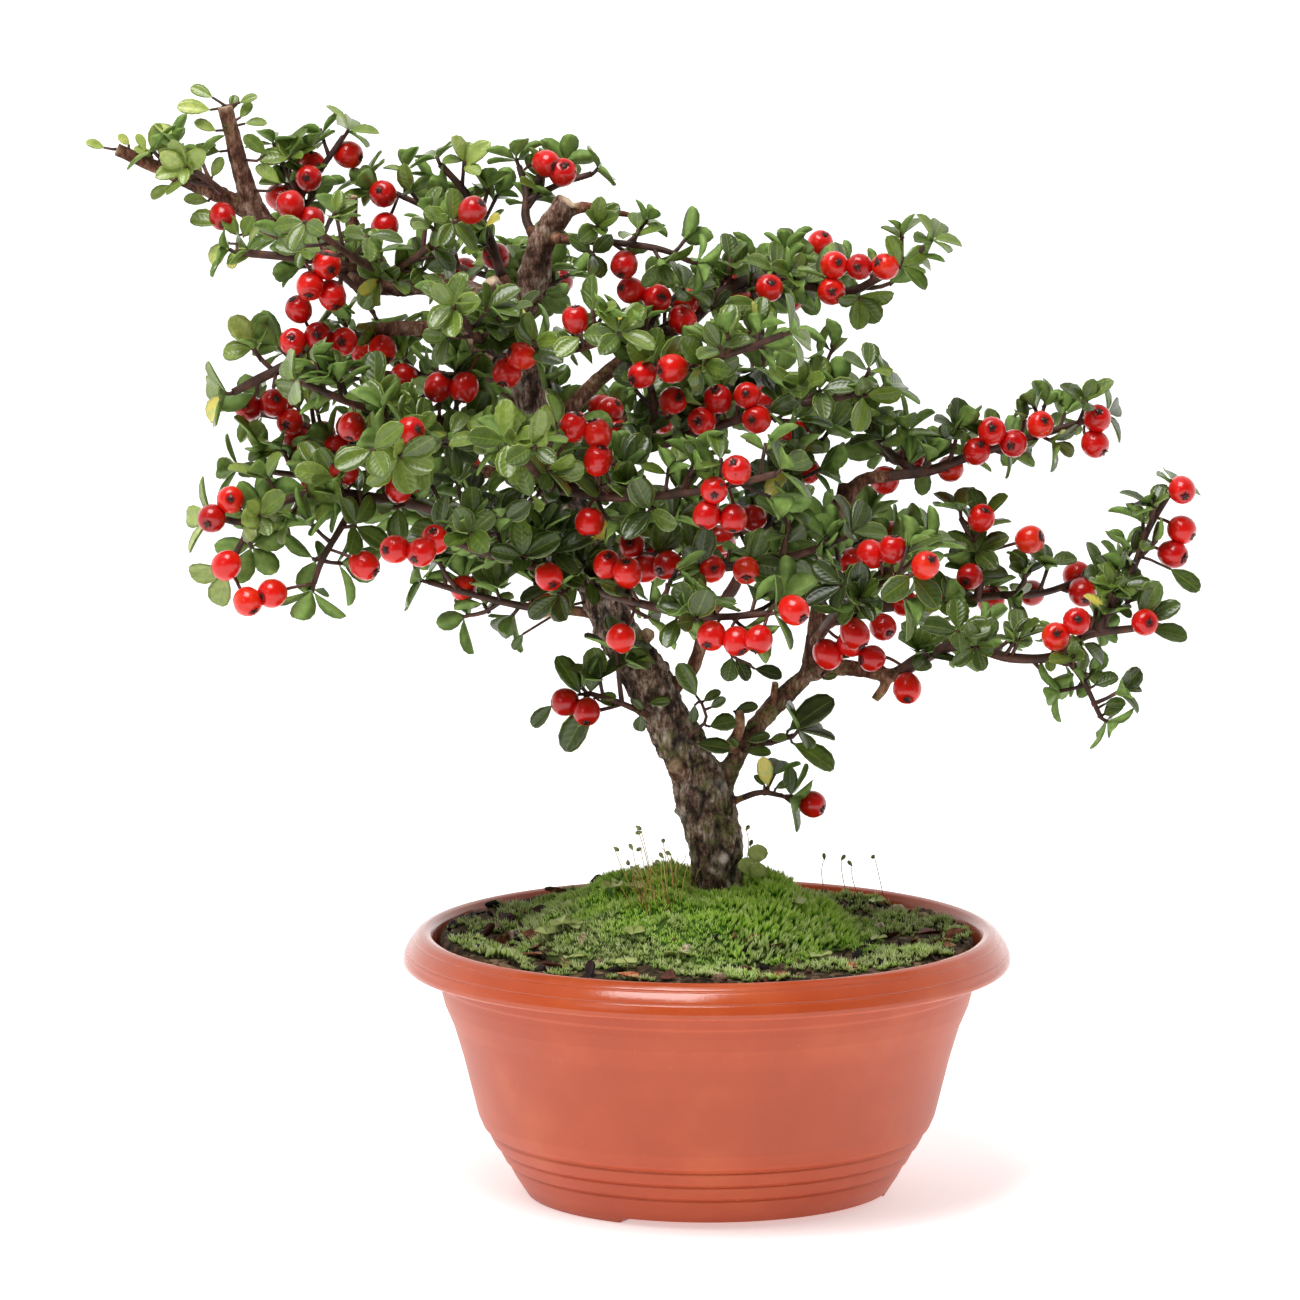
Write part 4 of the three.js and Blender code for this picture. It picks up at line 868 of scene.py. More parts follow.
def along_route(route, gap):
    """Places about every gap millimetres along the smooth curve through a route: a centripetal
    Catmull-Rom curve, whose ends are carried straight on, measured off evenly."""
    stops = true_place(route)
    stops = np.concatenate([[2 * stops[0] - stops[1]], stops, [2 * stops[-1] - stops[-2]]])
    p0, p1, p2, p3 = stops[:-3], stops[1:-2], stops[2:-1], stops[3:]
    root = np.sqrt(np.linalg.norm(np.diff(stops, axis=0), axis=1))[:, None]
    d0, d1, d2 = root[:-2], root[1:-1], root[2:]
    leave = ((p1 - p0) / d0 - (p2 - p0) / (d0 + d1) + (p2 - p1) / d1) * d1
    enter = ((p2 - p1) / d1 - (p3 - p1) / (d1 + d2) + (p3 - p2) / d2) * d1
    t = np.linspace(0, 1, 40, endpoint=False)[:, None, None]
    fine = p1 + leave * t + (
        3 * p2 - 3 * p1 - 2 * leave - enter
    ) * t ** 2 + (2 * p1 - 2 * p2 + leave + enter) * t ** 3
    fine = np.concatenate([fine.transpose(1, 0, 2).reshape(-1, 3), stops[-2:-1]])
    far = np.concatenate([[0], np.cumsum(np.linalg.norm(np.diff(fine, axis=0), axis=1))])
    marks = np.linspace(0, far[-1], max(2, round(far[-1] / gap)) + 1)
    return np.stack([np.interp(marks, far, fine[:, k]) for k in range(3)], axis=1), marks


def carried_frames(places):
    """The direction along a route at each place, and two directions square to it, which are carried
    along without twist."""
    along = np.gradient(places, axis=0)
    along /= np.linalg.norm(along, axis=1, keepdims=True)
    side = np.empty_like(along)
    carried = np.array([0.3, 1.0, 0.2])
    for i, direction in enumerate(along):
        carried = carried - carried @ direction * direction
        carried /= np.linalg.norm(carried)
        side[i] = carried
    return along, side, np.cross(along, side)


def tube(places, radii, sides):
    """A closed tube: a ring of points square to the route at each place, and a point at each
    end."""
    along, side, across = carried_frames(places)
    angle = np.linspace(0, 2 * math.pi, sides, endpoint=False)[None, :, None]
    radii = np.asarray(radii).reshape(len(places), -1, 1)
    rings = places[:, None] + radii * (
        np.cos(angle) * side[:, None] + np.sin(angle) * across[:, None]
    )
    points = np.concatenate([rings.reshape(-1, 3), places[:1], places[-1:]])
    caps = end_caps(len(places), sides, len(points) - 2, len(points) - 1)
    return points, grid_faces(len(places), sides), caps


def joined(parts):
    """Several (points, quads, triangles) as one, with the later faces' numbers moved on."""
    starts = np.cumsum([0] + [len(part[0]) for part in parts])
    return (
        np.concatenate([part[0] for part in parts]),
        np.concatenate([part[1] + start for part, start in zip(parts, starts)]),
        np.concatenate([part[2] + start for part, start in zip(parts, starts)]),
    )


def thickness(diameters, marks):
    """Half the diameter list, read at each place's share of the length."""
    return np.interp(marks / marks[-1], np.linspace(0, 1, len(diameters)), diameters) / 2


def applied(piece):
    """Gives a piece the mesh that its modifiers make of it, and drops them."""
    bpy.context.view_layer.update()
    mesh = bpy.data.meshes.new_from_object(
        piece.evaluated_get(bpy.context.evaluated_depsgraph_get()),
    )
    piece.modifiers.clear()
    piece.data = mesh


def places_of(piece):
    """A piece's points in millimetres from the pot's axis, and its outward directions there."""
    count = len(piece.data.vertices)
    points, normals = np.empty(count * 3, np.float32), np.empty(count * 3, np.float32)
    piece.data.vertices.foreach_get("co", points)
    piece.data.vertices.foreach_get("normal", normals)
    return points.reshape(-1, 3).astype(float) / MM - AXIS, normals.reshape(-1, 3).astype(float)


members = [TRUNK, *LIMBS, *STUBS]
tubes, wood_centres, wood_radii = [], [], []
for diameters, route in members:
    places, marks = along_route(route, 1.5)
    radii = thickness(diameters, marks)
    radii = radii * (
        1 + 0.35 * np.exp(-marks / 4) * (radii < 4)
    ) * (1 + 0.1 * value_noise(places, 9, 61))
    tubes.append(tube(places, radii, 20))
    wood_centres.append(places)
    wood_radii.append(radii)
for bare, stems in BRANCHES.values():
    places, marks = along_route(stems[0][1], 1.5)
    radii = thickness(stems[0][0], marks) * (1 + 0.5 * np.exp(-marks / 5))
    held = marks <= bare * marks[-1] + 1.5
    tubes.append(tube(places[held], radii[held], 12))
    wood_centres.append(places[held])
    wood_radii.append(radii[held])
points, quads, triangles = joined(tubes)
wood_centres, wood_radii = np.concatenate(wood_centres), np.concatenate(wood_radii)

bark, tree, shader = finish("cotoneaster_bark", "#3b2b22", 0.82, Specular_IOR_Level=0.3)
# Old cotoneaster bark: dark grey-brown plates a few millimetres long with near-black cracks, a
# dusty green film of algae on the lower trunk, red-brown and smoother on the thin wood, and tan
# where it was sawn. The near black in the cracks is partly the bark's own dark fissures and partly
# painted shade, and the palest flecks on the old plates are partly grey bark and partly painted
# glints of shine.
place = add(tree, "TexCoord").outputs["Object"]
crack = add(tree, "Attribute", {"attribute_name": "crack"}).outputs["Fac"]
age = add(tree, "Attribute", {"attribute_name": "age"}).outputs["Fac"]
sawn = add(tree, "Attribute", {"attribute_name": "sawn"}).outputs["Fac"]
height = add(tree, "SeparateXYZ", {}, {"Vector": place}).outputs["Z"]
upright = add(tree, "Mapping", {}, {"Vector": place, "Scale": (1.0, 1.0, 0.4)}).outputs["Vector"]
fine = add(
    tree, "TexNoise", {}, {"Vector": upright, "Scale": 780.0, "Detail": 8.0, "Roughness": 0.75},
).outputs["Fac"]
broad = add(tree, "TexNoise", {}, {"Vector": place, "Scale": 160.0, "Detail": 3.0}).outputs["Fac"]
mottle = add(
    tree, "Math", {"operation": "MULTIPLY_ADD"},
    {
        0: broad, 1: 0.4,
        2: add(tree, "Math", {"operation": "MULTIPLY"}, {0: fine, 1: 0.6}).outputs["Value"],
    },
).outputs["Value"]
film = add(
    tree, "TexNoise", {}, {"Vector": place, "Scale": 600.0, "Detail": 6.0, "Roughness": 0.75},
).outputs["Fac"]
# Its palest stops are partly grey bark and partly painted glints where smooth bark shines.
old = add(
    tree, "ValToRGB",
    {
        "stops": [
            (0.39, "#20140f"), (0.45, "#4e362c"), (0.5, "#826354"), (0.55, "#b69e90"),
            (0.61, "#e4d8ce"),
        ],
    },
    {"Fac": mottle},
)
young = add(
    tree, "ValToRGB",
    {"stops": [(0.38, "#331a11"), (0.47, "#5c3424"), (0.54, "#87573f"), (0.62, "#b58a6c")]},
    {"Fac": mottle},
)
skin = add(
    tree, "Mix", {"data_type": "RGBA"},
    {0: age, 6: young.outputs["Color"], 7: old.outputs["Color"]},
)
low = add(
    tree, "MapRange", {},
    {"Value": height, "From Min": 0.2, "From Max": 0.1, "To Min": 0.02, "To Max": 0.12},
)
patchy = add(tree, "TexNoise", {}, {"Vector": place, "Scale": 95.0, "Detail": 2.0}).outputs["Fac"]
gathered = add(
    tree, "Math", {"operation": "MULTIPLY_ADD"}, {0: patchy, 1: 0.35, 2: low.outputs["Result"]},
)
algae_share = add(
    tree, "Math", {"operation": "MULTIPLY_ADD"}, {0: film, 1: 0.8, 2: gathered.outputs["Value"]},
)
algae_edge = add(
    tree, "MapRange", {},
    {
        "Value": algae_share.outputs["Value"], "From Min": 0.66, "From Max": 0.78, "To Min": 0.0,
        "To Max": 0.7,
    },
)
green = add(
    tree, "Mix", {"data_type": "RGBA"},
    {0: algae_edge.outputs["Result"], 6: skin.outputs[2], 7: linear("#7c8648")},
)
# Near black in the cracks: partly the bark's own dark fissures, partly painted shade in them.
deep = add(
    tree, "Mix", {"data_type": "RGBA"}, {0: crack, 6: green.outputs[2], 7: linear("#0d0907")},
)
grain = add(
    tree, "ValToRGB", {"stops": [(0.38, "#b08a68"), (0.5, "#d9bb98"), (0.62, "#ead4b6")]},
    {"Fac": mottle},
)
mixed = add(
    tree, "Mix", {"data_type": "RGBA"}, {0: sawn, 6: deep.outputs[2], 7: grain.outputs["Color"]},
)
tree.links.new(mixed.outputs[2], shader.inputs["Base Color"])
shine = add(
    tree, "MapRange", {},
    {"Value": broad, "From Min": 0.55, "From Max": 0.68, "To Min": 0.88, "To Max": 0.48},
)
tree.links.new(shine.outputs["Result"], shader.inputs["Roughness"])
bump = add(tree, "Bump", {}, {"Strength": 1.0, "Distance": 0.0011, "Height": fine})
tree.links.new(bump.outputs["Normal"], shader.inputs["Normal"])

wood = mesh_piece("wood_trunk_and_limbs", points, [quads, triangles], [bark])
remesh = wood.modifiers.new("grown_together", "REMESH")
remesh.mode = "VOXEL"
remesh.voxel_size = SKIN * MM
remesh.use_smooth_shade = True
applied(wood)
points, normals = places_of(wood)
nearest = np.empty(len(points), int)
for start in range(0, len(points), 4000):
    block = points[start:start + 4000, None] - wood_centres[None]
    nearest[start:start + 4000] = np.argmin((block ** 2).sum(axis=2) - wood_radii ** 2, axis=1)
girth = wood_radii[nearest]
age = np.clip((girth - 1.6) / 3.5, 0, 1)
drawn_out = (
    points + 0.8 * np.stack([value_noise(points, 5, 75 + k) for k in range(3)], axis=1)
) * [1, 1, 0.36]
plates = 1 - np.abs(value_noise(drawn_out, 3.1, 71)) * 2
small_plates = 1 - np.abs(value_noise(drawn_out, 1.7, 72)) * 2
swell = value_noise(points, 9, 73)
rough = fractal_noise(points * [1, 1, 0.6], 1.9, 74)
crack = np.clip(plates - 0.5, 0, 1) + 0.7 * np.clip(small_plates - 0.55, 0, 1)
lift = age * (0.9 * swell - 1.1 * crack + 0.8 * rough) + 0.16 * rough
sawn = np.zeros(len(points))
for end, radius in SAWN_ENDS:
    away = np.linalg.norm(points - true_place(end), axis=1)
    sawn = np.maximum(sawn, np.clip(1.5 - away / radius * 1.3, 0, 1) * (away < radius * 1.1))
points += normals * (lift * (1 - sawn))[:, None]
wood.data.vertices.foreach_set("co", ((points + AXIS) * MM).astype(np.float32).ravel())
wood.data.materials.clear()
wood.data.materials.append(bark)
# The crack number also darkens the cracks in the finish, partly as painted shade.
keep_attribute(wood, "crack", np.clip(crack * 1.5, 0, 0.9) * age)
keep_attribute(wood, "age", age)
keep_attribute(wood, "sawn", sawn)
wood.data.update()
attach(wood, "root")
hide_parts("wood")


# Berries
# Small pomes, scarlet and glossy, each on a short stalk, alone or a few together. The far end
# has a dimple with the dry brown star that the flower left. Bunches carries the larger ones by
# name; seen singly lists further ones as [across, height] in the front view.
BERRY_RADIUS = 4.2
BUNCHES = {
    "twig_left": [(-33.4, -13, 137.8), (-39.4, -9.6, 139.9)],
    "twig_right": [(29.2, -6, 110.6)],
    "left_upper": [(-114.8, -8, 278.1), (-109.1, -7, 273.8)],
    "left_level": [(-104.5, -22, 263.1), (-108.9, -23, 257.5), (-103.1, -20.1, 254.6)],
    "left_thick": [(-114, -16, 241.2), (-107.1, -14.4, 242.6), (-100.2, -13.4, 241)],
    "left_end": [(-127.5, 8, 219.9), (-120.5, 7.3, 221.3), (-115.8, 7.8, 215.9)],
    "left_mid": [(-103, 6, 208.7), (-99.3, 6, 214.8)],
    "left_low": [(-136, -29, 194.1), (-130.9, -28.5, 199.1)],
    "left_hang": [(-126, -37, 172.2), (-119.2, -36.2, 174.3)],
    "left_front": [(-84.6, -66, 190.7), (-77.5, -67.1, 190.2), (-74, -61.3, 192.7)],
    "front_left": [(-66.5, -37, 231.2), (-73.7, -36.4, 231.1)],
    "front_crown": [(-54.6, -44, 236.2), (-50.7, -47.6, 241)],
    "front_mid": [(-37, -48, 221.7), (-30.2, -47.3, 219.6), (-30, -49.5, 212.7)],
    "front_right": [(-0.5, -66, 200.2), (6.6, -66, 199.2), (1.4, -66.8, 207.1)],
    "front_low": [(0.8, -66, 167.2), (7.6, -68, 166), (13.5, -72, 167.1)],
    "front_low_left": [(-27.6, -44, 183.2), (-22, -48.2, 181.6)],
    "right_low": [(33.4, -5.5, 152.7), (39.7, -6.8, 155.9), (45.7, -7.2, 151.8)],
    "right_front": [(44.4, -44, 186.2), (50.2, -47.8, 188.1)],
    "right_end": [(96, -20, 159.8), (101.7, -20.7, 164.2)],
    "right_arm": [(128.5, -12, 181.7), (131, -10.6, 188.3)],
    "right_mid": [(79.3, 12, 212.8), (75, 11.4, 207.1), (85.5, 13, 209.3)],
    "right_upper": [(49, -5, 260.7), (41.9, -4, 260.6), (34.8, -3, 260.9), (34.2, -3, 253.7)],
    "centre_upper": [(-21, -20, 255.8), (-14.1, -20.6, 253.7)],
}
SEEN_SINGLY = [
    (-113, 248), (-134, 274), (-110, 285), (-84, 230), (-89, 272), (-54.6, 229.5), (-9.6, 231),
    (-9.6, 222.6), (-18, 229.5), (-27, 220.5), (-37, 215), (-26, 215), (-40, 286), (-44.6, 288.6),
    (-65, 274), (-23, 260), (-7, 245), (3, 223), (-1.5, 217), (11, 224), (13.7, 217.5), (8.2, 203),
    (12.7, 190), (3.3, 184), (1, 176), (10.8, 175.6), (-21, 182.6), (-17, 176), (-11, 177),
    (-44, 174), (-32.7, 189), (-95.3, 177), (-98.5, 215), (-100.7, 203), (-82.4, 213.6),
    (-85.6, 198), (-133.5, 177), (-113, 168), (-24, 157), (24, 165), (41, 158), (48.8, 159.4),
    (40, 178), (60.5, 177), (73, 173.7), (76, 190), (89.5, 184), (71.8, 207.4), (91.4, 208),
    (108, 218), (107.4, 211), (121.6, 161), (131.6, 198), (28, 258.5), (17, 254), (31, 268),
    (104, 156), (55.7, 142.5), (-36.5, 244), (-90, 237),
]
BACK_BERRIES = 58


def stem_places():
    """Every leafy stem as places two millimetres apart with their half thickness."""
    centres, radii = [], []
    for bare, stems in BRANCHES.values():
        for number, (diameters, route) in enumerate(stems):
            places, marks = along_route(route, 2.0)
            leafy = marks > (bare * marks[-1] if number == 0 else 2)
            centres.append(places[leafy])
            radii.append(thickness(diameters, marks)[leafy])
    return np.concatenate(centres), np.concatenate(radii)


def seen_berries(readings, stems):
    """Places for berries read off the front view: each hangs just in front of the nearest stem that
    lies within seven millimetres of its line of sight, or else of the closest."""
    seen = stems[:, [0, 2]] + SIGHT * stems[:, [1]] * [0, 1]
    gaps = np.linalg.norm(seen[None] - np.array(readings)[:, None], axis=2)
    score = np.where(gaps < 7, stems[:, 1][None] - 200, gaps * 10)
    hold = np.argmin(score, axis=1)
    depth = stems[hold, 1] - 4.5
    across = EYE_TARGET[0] + (np.array(readings)[:, 0] - EYE_TARGET[0]) * (1 + depth / EYE_DISTANCE)
    return np.stack([across, depth, np.array(readings)[:, 1] - SIGHT * depth], axis=1)


def spread_berries(count, stems, taken, seed):
    """Places for berries on the sides and at the back: beside stems picked by a seeded draw, clear
    of each other."""
    draw = np.random.default_rng(seed)
    behind = stems[stems[:, 1] > 4]
    found = list(taken)
    kept = []
    while len(kept) < count:
        step = draw.normal(0, 1, 3) * [1, 1, 0.6] + [0, 0.5, -0.2]
        spot = behind[draw.integers(len(behind))] + 6.5 * step / np.linalg.norm(step)
        if np.linalg.norm(np.array(found) - spot, axis=1).min() > 2.05 * BERRY_RADIUS:
            found.append(spot)
            kept.append(spot)
    return np.array(kept)


def pomes(centres, stems, radii, seed):
    """Berries with their stars and stalks. A berry is a ball whose far pole is pushed in by a bell
    curve and whose near pole dips a little; the star is a ten-cornered cone over the dimple; the
    stalk is a tube that sags from the nearest stem. Gives points, quads, triangles, and for each
    point its finish and tone."""
    draw = np.random.default_rng(seed)
    count = len(centres)
    hold = np.argmin(np.linalg.norm(centres[:, None] - stems[None], axis=2) - radii, axis=1)
    root = stems[hold]
    size = BERRY_RADIUS * draw.uniform(0.93, 1.03, (count, 1, 1))
    axis = (centres - root) / 5 + 0.5 * draw.normal(0, 1, (count, 3)) + [0, -0.35, -0.25]
    axis /= np.linalg.norm(axis, axis=1, keepdims=True)
    side = np.cross(axis, [0.2, 0.3, 1.0])
    side /= np.linalg.norm(side, axis=1, keepdims=True)
    across = np.cross(axis, side)
    pole = np.linspace(0, math.pi, 13)[1:-1]
    turn = np.linspace(0, 2 * math.pi, 14, endpoint=False)
    rise = 1.03 * np.cos(pole) - 0.2 * np.exp(-(pole / 0.34) ** 2) + 0.1 * np.exp(
        -((math.pi - pole) / 0.3) ** 2,
    )
    wide = np.sin(pole) * (1 - 0.05 * (1 - np.cos(pole)))
    lobes = 1 + 0.035 * np.cos(5 * turn)[None] * np.exp(-(pole / 0.9) ** 2)[:, None]
    ball = np.stack(
        [
            wide[:, None] * lobes * np.cos(turn), wide[:, None] * lobes * np.sin(turn),
            rise[:, None] + 0 * lobes,
        ],
        axis=2,
    )
    ball = np.concatenate([ball.reshape(-1, 3), [[0, 0, 0.8], [0, 0, -0.95]]])
    corner = np.linspace(0, 2 * math.pi, 10, endpoint=False)
    far = np.where(np.arange(10) % 2 == 0, 0.4, 0.17)
    star = np.stack(
        [far * np.cos(corner), far * np.sin(corner), np.where(far > 0.3, 0.965, 0.92)], axis=1,
    )
    star = np.concatenate([star, [[0, 0, 0.83], [0, 0, 0.6]]])
    shape = np.concatenate([ball, star])
    frame_of = np.stack([side, across, axis], axis=1)
    shapes = np.tile(shape, (count, 1, 1))
    arms = slice(len(ball), len(ball) + 10)
    shapes[:, arms, :2] *= draw.uniform(0.55, 1.25, (count, 10, 1))
    shapes[:, arms, 2] += draw.uniform(-0.03, 0.07, (count, 10))
    shapes[:, :, 2] *= draw.uniform(0.95, 1.1, (count, 1))
    points = centres[:, None] + size * (shapes @ frame_of)
    rows, columns = len(pole), len(turn)
    quads = grid_faces(rows, columns)[:, ::-1]
    tens, next_ten = np.arange(10) + len(ball), (np.arange(10) + 1) % 10 + len(ball)
    triangles = np.concatenate([
        end_caps(rows, columns, rows * columns, rows * columns + 1, turned=True),
        np.stack([tens, next_ten, np.full(10, len(ball) + 10)], axis=1),
        np.stack([next_ten, tens, np.full(10, len(ball) + 11)], axis=1),
    ])
    starts = (np.arange(count) * len(shape))[:, None, None]
    # The dry number rises towards the dimple, where the finish deepens the red: partly the skin's
    # own tinge, partly painted shade in the hollow.
    sunken = 0.22 * np.exp(-(np.repeat(pole, columns) / 0.42) ** 2)
    dark = np.tile(np.r_[sunken, 0.22, 0.0, np.ones(len(star) - 2), 0.8, 0.8], count)
    tone = np.repeat(draw.uniform(0, 1, count), len(shape))
    parts = [
        (
            points.reshape(-1, 3), (quads[None] + starts).reshape(-1, 4),
            (triangles[None] + starts).reshape(-1, 3),
        ),
    ]
    for centre, start, direction, one in zip(centres, root, axis, size[:, 0, 0]):
        end = centre - direction * one * 0.8
        t = np.linspace(0, 1, 6)[:, None]
        bow = start * (1 - t) ** 2 + 2 * t * (1 - t) * (end - direction * 2.2) + end * t ** 2
        stalk = tube(bow, np.linspace(0.42, 0.5, 6), 6)
        parts.append(stalk)
        dark = np.concatenate([dark, np.full(len(stalk[0]), 0.5)])
        tone = np.concatenate([tone, np.zeros(len(stalk[0]))])
    return (*joined(parts), dark, tone)


berry_skin, tree, shader = finish(
    "berry_skin", "#c81812", 0.3, Specular_IOR_Level=0.3, Coat_Weight=0.4, Coat_Roughness=0.04,
)
# Taut waxy skin, scarlet and a little darker or more orange from berry to berry, with a dry dark
# brown star in the dimple and a dull red-brown stalk. Round the dimple the red deepens, partly the
# skin's own darker tinge and partly painted shade in the hollow.
place = add(tree, "TexCoord").outputs["Object"]
dry = add(tree, "Attribute", {"attribute_name": "dry"}).outputs["Fac"]
tone = add(tree, "Attribute", {"attribute_name": "tone"}).outputs["Fac"]
blotch = add(tree, "TexNoise", {}, {"Vector": place, "Scale": 330.0, "Detail": 2.0}).outputs["Fac"]
shade = add(
    tree, "MapRange", {},
    {"Value": blotch, "From Min": 0.3, "From Max": 0.7, "To Min": -0.14, "To Max": 0.14},
)
total = add(
    tree, "Math", {"operation": "ADD", "use_clamp": True}, {0: tone, 1: shade.outputs["Result"]},
)
red = add(
    tree, "ValToRGB",
    {"stops": [(0.0, "#a60605"), (0.4, "#c60b07"), (0.9, "#d6160a"), (1.0, "#d92f12")]},
    {"Fac": total.outputs["Value"]},
)
brown = add(
    tree, "ValToRGB",
    {
        "stops": [
            (0.0, "#000000"), (0.4, "#5a2b1e"), (0.6, "#4b2418"), (0.8, "#1c0c0a"),
            (1.0, "#46211a"),
        ],
    },
    {"Fac": dry},
)
is_dry = add(tree, "Math", {"operation": "GREATER_THAN"}, {0: dry, 1: 0.25})
# Deeper red round the dimple: partly the skin's own tinge, partly painted shade in the hollow.
dimple_darkening = add(
    tree, "MapRange", {},
    {"Value": dry, "From Min": 0.02, "From Max": 0.22, "To Min": 0.0, "To Max": 0.7},
)
red_darkened_at_dimple = add(
    tree, "Mix", {"data_type": "RGBA"},
    {0: dimple_darkening.outputs["Result"], 6: red.outputs["Color"], 7: linear("#6b100c")},
)
mixed = add(
    tree, "Mix", {"data_type": "RGBA"},
    {0: is_dry.outputs["Value"], 6: red_darkened_at_dimple.outputs[2], 7: brown.outputs["Color"]},
)
tree.links.new(mixed.outputs[2], shader.inputs["Base Color"])
dullness = add(
    tree, "MapRange", {}, {"Value": is_dry.outputs["Value"], "To Min": 0.28, "To Max": 0.8},
)
tree.links.new(dullness.outputs["Result"], shader.inputs["Roughness"])

stems, stem_radii = stem_places()
front_berries = np.concatenate([np.array(places, float) for places in BUNCHES.values()])
singles = seen_berries(SEEN_SINGLY, stems)
apart = np.linalg.norm(
    singles[:, None] - front_berries[None], axis=2,
).min(axis=1) > 1.9 * BERRY_RADIUS
singles = singles[apart]
front_berries = np.concatenate([front_berries, singles])
back_berries = spread_berries(BACK_BERRIES, stems, front_berries, 81)
all_berries = np.concatenate([front_berries, back_berries])

groups = [
    (f"berry_bunch_{name}", np.array(places, float), [f"berries_{name}"]) for name,
    places in BUNCHES.items()
]
groups += [("berries_seen_singly", singles, []), ("berries_at_the_back", back_berries, [])]
for number, (name, centres, nodes) in enumerate(groups):
    points, quads, triangles, dry, tone = pomes(centres, stems, stem_radii, 90 + number)
    berries = mesh_piece(name, points, [quads, triangles], [berry_skin])
    keep_attribute(berries, "dry", dry)
    keep_attribute(berries, "tone", tone)
    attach(berries, "root")
    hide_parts(*nodes)


# Branches
# Thin twigs carry rosettes of small oval leaves on short spurs, every few millimetres and at
# each tip. The blades are leathery: glossy dark green above with a paler midrib and rim, pale
# grey green below. Each branch is one piece, with its twigs, spurs and leaves.
UP = np.array([0.0, 0.0, 1.0])
STEP = 34 / 6
FIRST_STEP = 11.0
TIP_CLEAR = 4.0
GOLDEN_ANGLE = 2.39996
LEAF_LENGTH = 12.0
LEAF_WIDTH = 7.0
LEAF_THICK = 0.34
LEAF_CUP = 0.36
BERRY_IN_VIEW = 5.2
BERRIES_SHOWN = 0.85
MOST_LEAVES = 6
SHOOT_STEP = 13.0
SHOOT_SHORTEST = 9.0
SHOOT_SPREAD_OUT = 8.0
ROWS = np.array([0.0, 0.1, 0.19, 0.37, 0.6, 0.82, 0.95])
HALF_WIDTH = np.array([0.1, 0.13, 0.4, 0.84, 1.06, 0.92, 0.54])


def draws(number, salt):
    """A fixed draw between 0 and 1 for each pair of numbers: the fraction of a large sine."""
    wave = np.sin(number * 12.9898 + salt * 78.233) * 43758.5453
    return wave - np.floor(wave)


def unit(vectors):
    """The same directions, each one long."""
    return vectors / np.linalg.norm(vectors, axis=-1, keepdims=True)


def side_shoots(stem, stem_number, bare):
    """Short twigs off a stem, as routes: at even steps they leave it on turning sides, lean up and
    forward, and curve up."""
    diameters, route = stem
    places, marks = along_route(route, 1.0)
    along, side, across = carried_frames(places)
    far = np.arange(bare * marks[-1] + 5, marks[-1] - 6, SHOOT_STEP)
    routes = []
    for i, distance in enumerate(far):
        at = int(distance)
        seed = stem_number * 40.0 + i
        angle = i * GOLDEN_ANGLE + stem_number
        lean = side[at] * math.cos(
            angle,
        ) + across[at] * math.sin(angle) + 0.35 * UP + 0.7 * along[at]
        lean /= np.linalg.norm(lean)
        reach = SHOOT_SHORTEST + SHOOT_SPREAD_OUT * draws(seed, 91)
        reach *= 0.55 if abs(places[at][0] + 20) > 75 or places[at][2] > 235 else 1
        middle = places[at] + lean * reach / 2
        end = places[at] + lean * reach + UP * 0.16 * reach
        shoot = np.array([places[at], middle, end])
        shoot[:, 2] += SIGHT * shoot[:, 1]
        routes.append(([1.5, 1.1], shoot))
    return routes


def spur_places(stem, stem_number, bare, on_shoot=False):
    """Where spurs stand on a stem and how: even steps along it past its bare stretch, and its tip.
    Each turns on from the last by the golden angle, leans up and forward, and is a few millimetres
    long. Gives foot, hub, axis, start direction, number and whether the rosette is one of the main
    ones."""
    diameters, route = stem
    places, marks = along_route(route, 1.0)
    along, side, across = carried_frames(places)
    length = marks[-1]
    steps = np.arange(-1, int((length - TIP_CLEAR - FIRST_STEP) / STEP) + 1)
    far = FIRST_STEP + steps * STEP
    main = (steps % 6 == 0) & (not on_shoot)
    kept = (far > bare * length + 2.5) & (far < length - TIP_CLEAR)
    far, main, steps = np.r_[far[kept], length], np.r_[
        main[kept], not on_shoot,
    ], np.r_[steps[kept], 50]
    number = np.where(
        main, stem_number * 100 + np.round(far / FIRST_STEP), 50000 + stem_number * 1000 + steps,
    )
    tip = far == length

    def at(values):
        return np.stack([np.interp(far, marks, values[:, k]) for k in range(3)], axis=1)

    centre, along, side, across = at(places), unit(at(along)), unit(at(side)), unit(at(across))
    angle = (number * GOLDEN_ANGLE)[:, None]
    lift = np.where(main, 0.75, 0.25 + 0.9 * draws(number, 5))[:, None]
    lean = np.where(tip, 3.0, 0.5)[:, None]
    axis = unit(side * np.cos(angle) + across * np.sin(angle) + lift * UP + lean * along)
    reach = np.where(tip, 2.4, 4 + 6 * draws(number, 1))[:, None] * (0.5 if on_shoot else 1)
    return centre - 0.7 * axis, centre + reach * axis, axis, along, number, main


